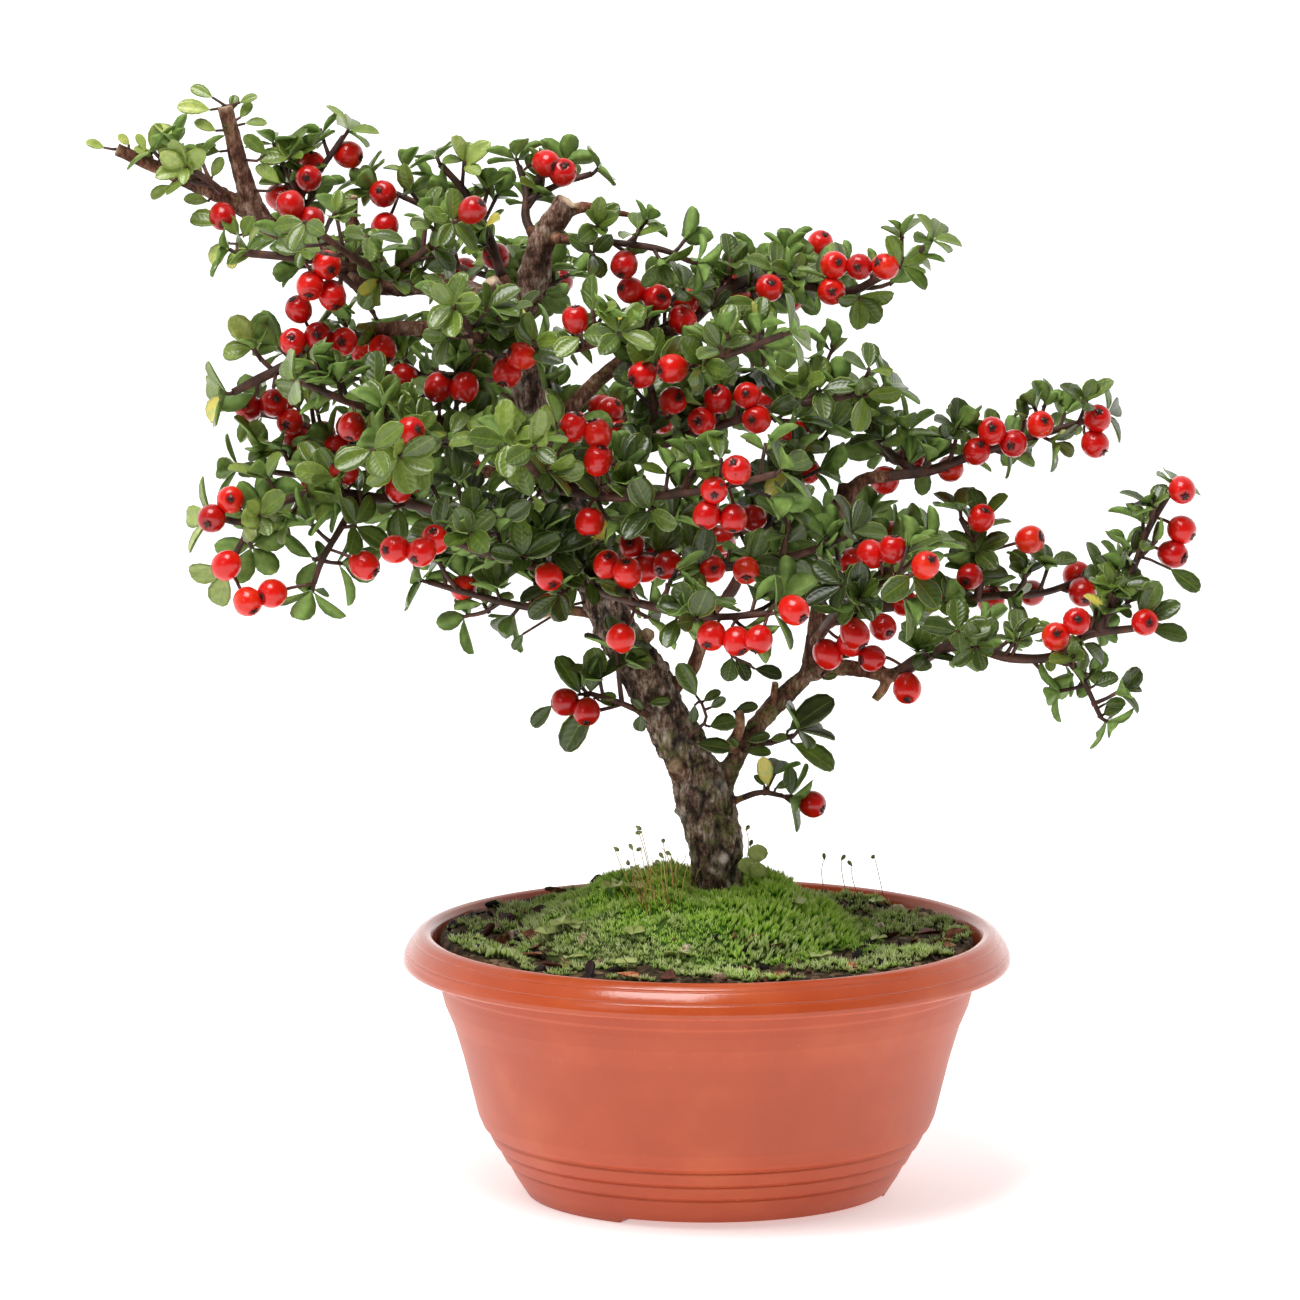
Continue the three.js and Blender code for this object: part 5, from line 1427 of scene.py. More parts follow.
def leaf_frames(hub, axis, start, number, main):
    """The leaves of each rosette: evenly round its axis with a small shift, tilted up from the flat
    by a draw. Gives, for each leaf, its hub, outward, sideways and upper directions, its length,
    width, bend and tone seed."""
    first = unit(start - (start * axis).sum(axis=1, keepdims=True) * axis)
    second = np.cross(axis, first)
    few = np.where(draws(number, 2) < 0.5, 4, 5)
    many = 3 + np.floor(3.6 * draws(number, 2))
    count = np.where(main, few, many)[:, None]
    k = np.arange(MOST_LEAVES)[None]
    seed = number[:, None]
    angle = (
        k / count * 2 * math.pi + np.where(main[:, None], 0.16, 0.6) * (draws(seed, 10 + k) - 0.5)
    )[..., None]
    tilt = (0.2 + np.where(main[:, None], 0.45, 1.15) * draws(seed, 20 + k))[..., None]
    roll = (np.where(main[:, None], 0.25, 1.0) * (draws(seed, 90 + k) - 0.5))[..., None]
    high = np.clip(np.maximum((hub[:, 2] - 235) / 35, (hub[:, 0] - 60) / 30), 0, 1)[:, None]
    size = np.where(main[:, None], 0.95, 0.68 + 0.36 * draws(seed, 50 + k)) * (1 - 0.2 * high)
    length = LEAF_LENGTH * (0.86 + 0.2 * draws(seed, 30 + k)) * size
    width = LEAF_WIDTH * (0.88 + 0.18 * draws(seed, 40 + k)) * size
    out = np.cos(angle) * first[:, None] + np.sin(angle) * second[:, None]
    across = np.cross(np.broadcast_to(axis[:, None], out.shape), out)
    outward = np.cos(tilt) * out + np.sin(tilt) * axis[:, None]
    upper = -np.sin(tilt) * out + np.cos(tilt) * axis[:, None]
    across, upper = np.cos(
        roll,
    ) * across + np.sin(roll) * upper, np.cos(roll) * upper - np.sin(roll) * across
    there = (k < count) & (length > 0)
    down = np.where(main[:, None], 0.8, 2.6) * draws(seed, 80 + k)
    hubs = hub[:, None] - axis[:, None] * down[..., None]
    bend = 0.04 + 0.22 * draws(seed, 60 + k) ** 2 + 0.12 * high
    return [
        part[there] for part in (
            hubs, outward, across, upper, length, width, bend, draws(seed, 70 + k)
        )
    ]


def clear_leaves(leaves):
    """Which leaves stay: those whose middle and tip are out of the wood, out of every berry, and
    not right in front of a berry that the front view shows."""
    hub, outward, _, _, length = leaves[:5]
    middle = hub + outward * 0.6 * length[:, None]
    tip = hub + outward * length[:, None]
    keep = np.ones(len(hub), bool)
    for point in (middle, tip):
        away = np.linalg.norm(
            point[:, None] - wood_centres[None, ::3], axis=2,
        ) - wood_radii[None, ::3]
        keep &= away.min(axis=1) > 1.0
        keep &= np.linalg.norm(
            point[:, None] - all_berries[None], axis=2,
        ).min(axis=1) > BERRY_RADIUS + 0.9
    step = middle[:, None] - front_berries[None]
    ahead = step @ sight
    beside = np.linalg.norm(step - ahead[..., None] * sight, axis=2)
    shown = draws(np.arange(len(front_berries)), 7) < BERRIES_SHOWN
    keep &= ~((ahead < 0) & (beside < BERRY_IN_VIEW) & shown).any(axis=1)
    return keep


def blades(leaves):
    """Closed thin blades: the half width follows a short oval that is broadest past its middle,
    with a narrow foot and a blunt tip, both halves rise from the midrib by a power of the distance
    from it, the whole bends down by the square of the distance along, and the underside is the rim
    closed by a lower midrib. Gives points, quads, triangles, the side of the blade that each quad
    and each triangle lies on, and for each point its place on the blade and its tone."""
    hub, outward, across, upper, length, width, bend, tone = leaves
    v = np.array([-1.0, -0.52, 0.0, 0.52, 1.0])
    u = ROWS[:, None] + 0 * v
    half = HALF_WIDTH[:, None] + 0 * v
    top = np.stack([u, v * half, LEAF_CUP * np.abs(v) ** 1.2 * half, 0 * u], axis=2).reshape(-1, 4)
    low = np.stack([ROWS, 0 * ROWS, 0 * ROWS, -1.0 * np.minimum(1, 0.4 + HALF_WIDTH)], axis=1)
    shape = np.concatenate([top, [[1.0, 0, 0, 0]], low])
    far, wide, cup, sunk = shape.T[:, None]
    points = (
        hub[:, None]
        + outward[:, None] * (far * length[:, None])[..., None]
        + across[:, None] * (wide * width[:, None] / 2)[..., None]
        + upper[:, None] * (
            cup * width[
                :, None
            ] / 2 - bend[:, None] * far ** 2 * length[:, None] + sunk * LEAF_THICK
        )[..., None]
    )
    rows = len(ROWS)
    tip, under = rows * 5, rows * 5 + 1
    upper_quads = grid_faces(rows, 5, closed=False)
    row = np.arange(rows - 1)
    left = np.stack([row * 5, row * 5 + 5, under + row + 1, under + row], axis=1)
    right = np.stack([row * 5 + 9, row * 5 + 4, under + row, under + row + 1], axis=1)
    end = (rows - 1) * 5
    upper_tips = np.array([[end + k, end + k + 1, tip] for k in range(4)])
    lower_tips = np.array([[end, tip, under + rows - 1], [tip, end + 4, under + rows - 1]])
    foot = np.array([[0, under, 1], [1, under, 2], [2, under, 3], [3, under, 4]])
    starts = (np.arange(len(hub)) * len(shape))[:, None, None]
    quads = np.concatenate([upper_quads, left, right])
    triangles = np.concatenate([upper_tips, lower_tips, foot])
    quad_side = np.r_[np.zeros(len(upper_quads)), np.ones(len(left) + len(right))]
    triangle_side = np.r_[np.zeros(4), np.ones(6)]
    count = len(hub)
    spot = np.stack(
        [far[0], shape[:, 1] / np.maximum(np.r_[np.repeat(HALF_WIDTH, 5), 1, np.ones(rows)], 0.01)],
        axis=1,
    )
    return (
        points.reshape(-1, 3), (quads[None] + starts).reshape(-1, 4),
        (triangles[None] + starts).reshape(-1, 3),
        np.tile(quad_side, count), np.tile(triangle_side, count), np.tile(spot, (count, 1)),
        np.repeat(tone, len(shape)),
    )


leaf_upper, tree, shader = finish(
    "cotoneaster_leaf_upper", "#2f5a26", 0.36, Specular_IOR_Level=0.4, Coat_Weight=0.35,
    Coat_Roughness=0.16,
)
# Leathery waxed blade: dark green with a soft white sheen, side veins pressed in every millimetre
# and a half, a pale midrib, a thin yellow-green rim, and some lighter or yellowing. The tone that
# picks the green also holds painted light: blades high up and far to the left are lighter.
tone = add(tree, "Attribute", {"attribute_name": "tone"}).outputs["Fac"]
spot = add(tree, "UVMap", {"uv_map": "blade"}).outputs["UV"]
split = add(tree, "SeparateXYZ", {}, {"Vector": spot})
place = add(tree, "TexCoord").outputs["Object"]
centred = add(tree, "Math", {"operation": "SUBTRACT"}, {0: split.outputs["Y"], 1: 0.5})
beside = add(tree, "Math", {"operation": "ABSOLUTE"}, {0: centred.outputs["Value"]})
slant = add(
    tree, "Math", {"operation": "MULTIPLY_ADD"},
    {0: beside.outputs["Value"], 1: -0.5, 2: split.outputs["X"]},
)
waves = add(tree, "Math", {"operation": "MULTIPLY"}, {0: slant.outputs["Value"], 1: 44.0})
vein = add(tree, "Math", {"operation": "SINE"}, {0: waves.outputs["Value"]})
mottle = add(tree, "TexNoise", {}, {"Vector": place, "Scale": 500.0, "Detail": 3.0}).outputs["Fac"]
shade = add(
    tree, "MapRange", {},
    {"Value": mottle, "From Min": 0.3, "From Max": 0.7, "To Min": -0.08, "To Max": 0.08},
)
total = add(
    tree, "Math", {"operation": "ADD", "use_clamp": True}, {0: tone, 1: shade.outputs["Result"]},
)
green = add(
    tree, "ValToRGB",
    {
        "stops": [
            (0.0, "#2a3610"), (0.35, "#4d611e"), (0.62, "#718532"), (0.84, "#98a853"),
            (0.94, "#b7bf66"), (1.0, "#d6c557"),
        ],
    },
    {"Fac": total.outputs["Value"]},
)
rib = add(
    tree, "MapRange", {"interpolation_type": "SMOOTHSTEP"},
    {
        "Value": beside.outputs["Value"], "From Min": 0.045, "From Max": 0.012, "To Min": 0.0,
        "To Max": 0.22,
    },
)
rim = add(
    tree, "MapRange", {"interpolation_type": "SMOOTHSTEP"},
    {
        "Value": beside.outputs["Value"], "From Min": 0.44, "From Max": 0.48, "To Min": 0.0,
        "To Max": 0.7,
    },
)
pale = add(
    tree, "Math", {"operation": "MAXIMUM"}, {0: rib.outputs["Result"], 1: rim.outputs["Result"]},
)
mixed = add(
    tree, "Mix", {"data_type": "RGBA"},
    {0: pale.outputs["Value"], 6: green.outputs["Color"], 7: linear("#a9b85c")},
)
tree.links.new(mixed.outputs[2], shader.inputs["Base Color"])
bump = add(
    tree, "Bump", {}, {"Strength": 0.14, "Distance": 0.0003, "Height": vein.outputs["Value"]},
)
tree.links.new(bump.outputs["Normal"], shader.inputs["Normal"])

leaf_under, tree, shader = finish("cotoneaster_leaf_under", "#8ea077", 0.6, Specular_IOR_Level=0.35)
# The same blade from below: pale grey green, matt and finely felted.
place = add(tree, "TexCoord").outputs["Object"]
mottle = add(tree, "TexNoise", {}, {"Vector": place, "Scale": 420.0, "Detail": 3.0}).outputs["Fac"]
pale = add(
    tree, "ValToRGB", {"stops": [(0.3, "#64803a"), (0.6, "#7b9848"), (0.85, "#97b062")]},
    {"Fac": mottle},
)
tree.links.new(pale.outputs["Color"], shader.inputs["Base Color"])

twig_bark, tree, shader = finish("young_twig_bark", "#4a2f26", 0.6, Specular_IOR_Level=0.4)
# Thin young bark: red brown to dark brown, nearly smooth, with a grey bloom in places.
place = add(tree, "TexCoord").outputs["Object"]
mottle = add(tree, "TexNoise", {}, {"Vector": place, "Scale": 240.0, "Detail": 4.0}).outputs["Fac"]
brown = add(
    tree, "ValToRGB",
    {"stops": [(0.25, "#241611"), (0.5, "#45291f"), (0.7, "#603a2c"), (0.88, "#7b6252")]},
    {"Fac": mottle},
)
tree.links.new(brown.outputs["Color"], shader.inputs["Base Color"])
knobs = add(tree, "TexNoise", {}, {"Vector": place, "Scale": 800.0, "Detail": 3.0}).outputs["Fac"]
bump = add(tree, "Bump", {}, {"Strength": 0.6, "Distance": 0.0004, "Height": knobs})
tree.links.new(bump.outputs["Normal"], shader.inputs["Normal"])


def leafy_piece(name, twigs, leaves):
    """One mesh of twigs, as (points, quads, triangles), and leaf blades, with the leaves' tone by
    height, patch and draw, and each blade's own flat map. The part by height and by how far left is
    painted light: blades there are lighter, as if lit more from above and the left."""
    twig_points, twig_quads, twig_triangles = joined(twigs)
    points, quads, triangles, quad_side, triangle_side, spot, tone = blades(leaves)
    # Painted light: blades higher up and further left get lighter tones, as if lit more from above
    # and the left; the patches and draws are the leaves' own variety.
    height = np.clip(np.maximum((points[:, 2] - 150) / 160, (-points[:, 0] - 70) / 60), 0, 1)
    light = 0.12 + 0.3 * height ** 2 + 0.36 * tone ** 1.5 + 0.2 * value_noise(points, 38, 66)
    light = np.where(tone > 0.985, 1.0, np.clip(light, 0, 0.9))
    shift = len(twig_points)
    piece = mesh_piece(name, np.concatenate([twig_points, points]), [
        np.concatenate([twig_quads, quads + shift]),
        np.concatenate([twig_triangles, triangles + shift]),
    ], [twig_bark, leaf_upper, leaf_under])
    finish_of = np.concatenate(
        [0 * twig_quads[:, 0], 1 + quad_side, 0 * twig_triangles[:, 0], 1 + triangle_side],
    )
    piece.data.polygons.foreach_set("material_index", finish_of.astype(np.int32))
    keep_attribute(piece, "tone", np.concatenate([np.zeros(shift), light]))
    layer = piece.data.uv_layers.new(name="blade")
    corner_points = np.empty(len(piece.data.loops), np.int32)
    piece.data.loops.foreach_get("vertex_index", corner_points)
    spots = np.concatenate([np.zeros((shift, 2)), spot * [1, 0.5] + [0, 0.5]])
    layer.data.foreach_set("uv", spots[corner_points].astype(np.float32).ravel())
    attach(piece, "root")
    return piece


for branch_number, (name, (bare, stems_of)) in enumerate(BRANCHES.items()):
    parts, spurs = [], []
    for stem_index, stem in enumerate(stems_of):
        held = bare if stem_index == 0 else 0
        diameters, route = stem
        places, marks = along_route(route, 2.0)
        radii = thickness(diameters, marks) * (1 + 0.12 * value_noise(places, 5, 63))
        if stem_index == 0:
            shown = marks >= held * marks[-1] - 2
            places, radii = places[shown], radii[shown]
        else:
            radii = radii * (1 + 0.4 * np.exp(-marks / 3))
        parts.append(tube(places, radii, 8))
        stem_number = branch_number * 10 + stem_index
        spurs.append(spur_places(stem, stem_number, held))
        for shoot_number, shoot in enumerate(side_shoots(stem, stem_number, held)):
            places, marks = along_route(shoot[1], 3.0)
            parts.append(tube(places, thickness(shoot[0], marks), 6))
            spurs.append(
                spur_places(shoot, 1000 + stem_number * 20 + shoot_number, 0.2, on_shoot=True),
            )
    foot, hub, axis, start, number, main = (np.concatenate(part) for part in zip(*spurs))
    for low, high in zip(foot, hub):
        middle = (low + high) / 2 + [0, 0, -0.25]
        parts.append(tube(np.array([low, middle, high]), np.array([0.75, 0.55, 0.62]), 5))
    leaves = leaf_frames(hub, axis, start, number, main)
    keep = clear_leaves(leaves)
    branch = leafy_piece(f"leafy_{name}", parts, [part[keep] for part in leaves])
    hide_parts(f"branch_{name}")


# Lone leaves
# Some leaves stand alone: at the trunk's fork, low at both sides and at the upper left. Each is
# given by its foot [across, depth, height], its tip [across, height] and its width, and a thin
# stalk joins it to the nearest wood or twig.
STALK = 1.6
MOST_DRAWN_IN = 7.0
LONE_TWIGS = [
    ([1.2, 0.9], [(-5, -6, 128), (-4, -9, 130), (-0.3, -9.6, 133.4), (-1.6, -9, 138.4)]),
    ([1.2, 0.8], [(9.6, 0, 125), (9.4, -3, 130.6), (7.8, -3, 135.8)]),
    ([1.4, 1], [(14, 1, 128), (17, -3, 126.4), (20, -3.4, 127.6), (23.6, -3, 128.4)]),
    ([1.2, 0.8], [(1, -2, 158), (5, -5, 155), (7, -6, 151.4), (12, -6, 149)]),
    ([1.1, 0.8], [(-16, -5, 135), (-17, -8.6, 135.8), (-17.6, -9.2, 136.2)]),
]
LONE_LEAVES = [
    (-2.8, -9, 139.7, -7.9, 149.3, 5.1), (-1.4, -9, 138.5, 3.4, 141.8, 2.1),
    (0.6, -9, 136.7, 5, 139.7, 2.3), (0.2, -9, 131.5, 8, 133.4, 5.3),
    (-3.5, -9, 126.9, 6.4, 125.5, 4.2), (3.9, -9, 128.3, 8.5, 125.9, 2.3),
    (-3.5, -9, 138.1, -4, 132.5, 2.8), (7.3, -3, 135.7, 13.8, 137.6, 1.2),
    (10.3, -3, 132.5, 8.7, 135, 2.3), (10.8, -3, 127.3, 17.5, 129, 2.8),
    (10.3, -3, 124.3, 17.7, 124.5, 2.5), (22.1, -3, 129.9, 35, 139.7, 6.9),
    (23.2, -3, 127.1, 35.9, 120.1, 2.8), (17.2, -3, 127.8, 22.3, 128.7, 1.8),
    (17, -5, 114.3, 15.4, 122.9, 2.3), (16.3, -5, 114.7, 13.3, 117.8, 2.1),
    (18.6, -5, 114, 23.5, 116.1, 2.5), (25.3, -5, 111.5, 23, 119.9, 3.7),
    (27.9, -5, 107.7, 32.1, 107.3, 2.3), (6.9, -6, 151.4, 5.7, 144.4, 5.1),
    (7.6, -6, 151.4, 11.7, 144.8, 4.2), (12.6, -6, 147.9, 20.9, 145.8, 4.6),
    (29.7, -6, 150.7, 40.1, 152.1, 2.8), (32, -6, 144.8, 35.7, 146.2, 1.8),
    (-34.9, -8, 140.2, -41.1, 151.4, 3.9), (-32.4, -8, 140.7, -31.5, 150.4, 5.9),
    (-42.7, -8, 137.9, -48.8, 131.6, 3.2), (-33.9, -8, 133.6, -40.2, 125, 7.6),
    (-36.5, -8, 137.1, -34.2, 131, 3), (-30.7, -8, 139.7, -25.3, 140.4, 2),
    (-30.5, -8, 138.9, -25.5, 138.2, 1.4), (-18.2, -9, 135.3, -19, 130.1, 3.7),
    (-16.6, -9, 138, -10.3, 139.1, 3.2), (-17.5, -9, 136.2, -20.4, 139.1, 1.1),
    (-13.6, -9, 150.4, -23.2, 152.2, 7.1), (-50.9, -9, 158, -53.9, 153.2, 2.1),
    (106.5, -18, 143.1, 113.4, 146.4, 4.6), (105.4, -18, 145.8, 107.2, 147.8, 2.1),
    (109.2, -18, 138.1, 115.7, 138.8, 3.2), (109.2, -18, 135.1, 113.5, 137.4, 4.3),
    (127.1, -17, 176.2, 135.8, 169.9, 4.3), (123.5, -17, 158.8, 132.9, 157.5, 3.9),
    (119.3, -17, 162.9, 124.1, 172.4, 6.7), (123.3, -17, 163.3, 129.9, 166.5, 3.9),
    (94.4, -17, 151.8, 94.8, 147.4, 3), (112.5, -17, 165.8, 117.1, 162.5, 3.2),
    (-165.9, -1, 292.9, -171.2, 294.8, 1.4), (-159.2, -1, 293.6, -162.2, 296.7, 2.5),
    (-152.8, -1, 290.6, -158, 293.2, 2.5), (-154.2, -1, 293.4, -157.2, 296.9, 2.3),
    (-151.9, -1, 294.8, -151.4, 299.7, 3.7), (-151.2, -1, 295.5, -144.7, 298.8, 2.8),
    (-151, -1, 289.9, -148.6, 295.7, 4.6), (-149.8, -1, 292.9, -145.5, 294.6, 2.1),
    (-144.9, -1, 286.9, -149.8, 291.3, 2.3), (-147.7, -1, 282.9, -153.9, 279.4, 2.9),
    (-137.3, -1, 278.2, -144.3, 279.1, 2.7), (-139, -1, 285, -143.8, 290.6, 2.9),
    (-136.6, -1, 285.2, -133.8, 290.5, 2.9), (-134.2, -1, 291.9, -142.9, 292.7, 2.3),
    (-135.5, -1, 297.4, -141.3, 300.4, 2.3), (-136.6, -1, 303.4, -145.9, 304.7, 1.9),
    (-136.6, -1, 307.2, -142.4, 310.3, 1.4), (-130.9, -1, 303.2, -130.2, 307.9, 2.9),
    (-129, -1, 301, -125.8, 305.8, 2.9), (-127.9, -1, 299.7, -121.4, 300.4, 2.8),
    (-126.5, -1, 305.8, -124.2, 307.6, 1.4), (-133, -8, 272.1, -142.6, 273.3, 6.5),
    (-131.6, -8, 266.8, -137.3, 260.7, 5.8), (-129.3, -8, 264.9, -131.8, 259.3, 2.3),
    (-128.8, -8, 268.2, -133.2, 274, 4.2), (-127.9, -8, 267.9, -125.5, 273.8, 4.6),
    (-121, -8, 290.6, -127.4, 296.2, 3.2), (-117.3, -8, 282.7, -124.2, 288, 3.2),
]

order = np.arange(len(LONE_LEAVES))
lone = np.array(LONE_LEAVES, float)
feet = true_place(lone[:, :3])
twigs = []
for diameters, route in LONE_TWIGS:
    places, marks = along_route(route, 2.0)
    twigs.append(tube(places, thickness(diameters, marks), 6))
    stems = np.concatenate([stems, places])
    stem_radii = np.concatenate([stem_radii, thickness(diameters, marks)])
carriers = np.concatenate([stems, wood_centres])
carrier_radii = np.concatenate([stem_radii, wood_radii])
away = np.linalg.norm(feet[:, None] - carriers[None], axis=2) - carrier_radii
held = np.argmin(away, axis=1)
gap = np.maximum(away.min(axis=1), 0.01)
bark_spot = carriers[held] + unit(feet - carriers[held]) * carrier_radii[held][:, None]
feet = bark_spot + (feet - bark_spot) * np.where(
    gap < MOST_DRAWN_IN, np.minimum(1, STALK / gap), 1,
)[:, None]
tips = true_place(
    np.stack([lone[:, 3], lone[:, 1] + 4 * (draws(order, 3) - 0.6), lone[:, 4]], axis=1),
)
length = np.linalg.norm(tips - feet, axis=1)
outward = unit(tips - feet)
face = UP * 0.5 - sight + 0.5 * np.stack([draws(order, 4 + k) - 0.5 for k in range(3)], axis=1)
upper = unit(face - (face * outward).sum(axis=1, keepdims=True) * outward)
leaves = [
    feet, outward, np.cross(upper, outward), upper, length, np.maximum(lone[:, 5], 0.48 * length),
    0.04 + 0.14 * draws(order, 8), draws(order, 9),
]
for foot, direction, hold in zip(feet, outward, carriers[held]):
    bow = (hold + foot) / 2 - 0.12 * np.linalg.norm(foot - hold) * direction
    twigs.append(tube(np.stack([hold, bow, foot + 0.6 * direction]), [0.5, 0.42, 0.36], 5))
leafy_piece("leafy_lone_twigs", twigs, leaves)


# Litter
# What has fallen on the soil: curled dead leaves, chips of bark, pebbles and grit. They lie
# where the front view shows them, [across, height], and more are strewn over the rest.
DEAD_LEAVES = [
    (-51.9, 72.4), (-49.1, 71.6), (7.2, 72.4), (13, 72.4), (18.5, 70.5), (40.5, 64.6), (15.2, 62.6),
    (-22.2, 62.4), (-10.6, 63), (62, 67), (68, 69), (60.3, 82.5), (58.1, 69.6), (19.6, 62.6),
    (51, 71.3), (36.7, 77.4), (-56.3, 74.6), (66.5, 70.5), (-47, 69),
]
PEBBLES = [
    (61.4, 75.2), (64.2, 78.2), (-6.2, 69.6), (62.5, 77.4), (2.6, 62.6), (53.2, 80.4),
    (-54.6, 71.3), (3.6, 62.9), (-30, 66), (48, 73),
]
CHIPS = 240
STREWN_LEAVES = 26
STONE_RINGS = 7
STONE_SIDES = 9
STONE_POINTS = STONE_RINGS * STONE_SIDES + 2


def on_the_ground(readings):
    """Where the line of sight through each front reading first meets the moss or the soil inside
    the lip, by steps of half a millimetre from the front; a line that passes over all of it takes
    the place of its smallest miss."""
    across, height = np.array(readings, float).T[:, :, None]
    depth = np.arange(-73.5, 73.5, 0.5)[None]
    x = EYE_TARGET[0] + (across - EYE_TARGET[0]) * (1 + depth / EYE_DISTANCE)
    y = depth + 0 * x
    level = np.maximum(
        mound_height(x.ravel(), y.ravel()), soil_height(x.ravel(), y.ravel()),
    ).reshape(x.shape)
    over = np.where(np.hypot(x, y) < 72, height - SIGHT * depth - level, np.inf)
    met = np.where((over <= 0).any(axis=1), np.argmax(over <= 0, axis=1), np.argmin(over, axis=1))
    pick = np.arange(len(x)), met
    return np.stack([x[pick], y[pick], level[pick]], axis=1)


def strewn(count, inner, seed):
    """Seeded random places on the ground between a radius and the lip, evenly by area."""
    draw = np.random.default_rng(seed)
    far = np.sqrt(draw.uniform(inner ** 2, 72.5 ** 2, count))
    angle = draw.uniform(0, 2 * math.pi, count)
    x, y = far * np.cos(angle), far * np.sin(angle)
    return np.stack([x, y, np.maximum(mound_height(x, y), soil_height(x, y))], axis=1)


def lumps(centres, reach, seed):
    """Small closed stones and chips: a ball of seven rings by nine, stretched three ways by draws,
    turned at random and roughened by noise. Gives points, quads, triangles and a tone for each
    point."""
    draw = np.random.default_rng(seed)
    count = len(centres)
    pole = np.linspace(0, math.pi, STONE_RINGS + 2)[1:-1, None]
    turn = np.linspace(0, 2 * math.pi, STONE_SIDES, endpoint=False)[None]
    ball = np.stack(
        [np.sin(pole) * np.cos(turn), np.sin(pole) * np.sin(turn), np.cos(pole) + 0 * turn],
        axis=2,
    )
    ball = np.concatenate([ball.reshape(-1, 3), [[0, 0, 1], [0, 0, -1]]])
    turned, _ = np.linalg.qr(draw.normal(0, 1, (count, 3, 3)) + [[0, 0, 0], [0, 0, 0], [0, 0, 3]])
    shapes = (ball[None] * np.asarray(reach)[:, None]) @ turned
    points = (centres[:, None] + shapes).reshape(-1, 3)
    points += 0.35 * np.stack([value_noise(points, 1.5, seed + k) for k in range(3)], axis=1)
    starts = (np.arange(count) * len(ball))[:, None, None]
    caps = end_caps(STONE_RINGS, STONE_SIDES, STONE_POINTS - 2, STONE_POINTS - 1, turned=True)
    quads = grid_faces(STONE_RINGS, STONE_SIDES)[:, ::-1]
    tone = np.repeat(draw.uniform(0, 1, count), len(ball))
    return points, (quads[None] + starts).reshape(-1, 4), (caps[None] + starts).reshape(-1, 3), tone


dead_leaf, tree, shader = finish("dry_fallen_leaf", "#4a2a1c", 0.7, Specular_IOR_Level=0.3)
# Leathery leaves gone dry: dark red brown to tan, with a slight sheen and darker blotches.
place = add(tree, "TexCoord").outputs["Object"]
tone = add(tree, "Attribute", {"attribute_name": "tone"}).outputs["Fac"]
mottle = add(tree, "TexNoise", {}, {"Vector": place, "Scale": 500.0, "Detail": 4.0}).outputs["Fac"]
shade = add(
    tree, "MapRange", {},
    {"Value": mottle, "From Min": 0.3, "From Max": 0.7, "To Min": -0.2, "To Max": 0.2},
)
total = add(
    tree, "Math", {"operation": "ADD", "use_clamp": True}, {0: tone, 1: shade.outputs["Result"]},
)
brown = add(
    tree, "ValToRGB",
    {
        "stops": [
            (0.0, "#1d1011"), (0.35, "#3c1d17"), (0.6, "#63301f"), (0.8, "#8c5c38"),
            (0.94, "#b39468"), (1.0, "#b5461f"),
        ],
    },
    {"Fac": total.outputs["Value"]},
)
tree.links.new(brown.outputs["Color"], shader.inputs["Base Color"])
bump = add(tree, "Bump", {}, {"Strength": 0.6, "Distance": 0.0004, "Height": mottle})
tree.links.new(bump.outputs["Normal"], shader.inputs["Normal"])

grit, tree, shader = finish("bark_chips_and_pebbles", "#4a3a2c", 0.85, Specular_IOR_Level=0.3)
# Chips of bark, near black when damp, among a few tan and grey pebbles.
place = add(tree, "TexCoord").outputs["Object"]
tone = add(tree, "Attribute", {"attribute_name": "tone"}).outputs["Fac"]
mottle = add(tree, "TexNoise", {}, {"Vector": place, "Scale": 700.0, "Detail": 4.0}).outputs["Fac"]
shade = add(
    tree, "MapRange", {},
    {"Value": mottle, "From Min": 0.3, "From Max": 0.7, "To Min": -0.12, "To Max": 0.12},
)
total = add(
    tree, "Math", {"operation": "ADD", "use_clamp": True}, {0: tone, 1: shade.outputs["Result"]},
)
stone = add(
    tree, "ValToRGB",
    {
        "stops": [
            (0.0, "#130f0d"), (0.4, "#2a1e18"), (0.7, "#4a3527"), (0.86, "#78604a"),
            (0.95, "#b09a80"), (1.0, "#d3c4ae"),
        ],
    },
    {"Fac": total.outputs["Value"]},
)
tree.links.new(stone.outputs["Color"], shader.inputs["Base Color"])
bump = add(tree, "Bump", {}, {"Strength": 0.8, "Distance": 0.0006, "Height": mottle})
tree.links.new(bump.outputs["Normal"], shader.inputs["Normal"])

draw = np.random.default_rng(51)
spots = np.concatenate([on_the_ground(DEAD_LEAVES), strewn(STREWN_LEAVES, 46, 52)])
count = len(spots)
outward = unit(draw.normal(0, 1, (count, 3)) * [1, 1, 0.25])
face = unit(UP + 0.45 * draw.normal(0, 1, (count, 3)))
upper = unit(face - (face * outward).sum(axis=1, keepdims=True) * outward)
length = draw.uniform(4.5, 9.5, count)
fallen = [
    spots + UP * 1.5 - outward * length[:, None] / 2, outward, np.cross(upper, outward), upper,
    length,
    length * draw.uniform(0.35, 0.65, count), draw.uniform(-0.35, 0.35, count),
    draw.uniform(0, 0.9, count),
]
fallen[7][7] = 1.0
points, quads, triangles, _, _, _, tone = blades(fallen)
litter = mesh_piece("litter_dead_leaves", points, [quads, triangles], [dead_leaf])
keep_attribute(litter, "tone", tone)
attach(litter, "root")

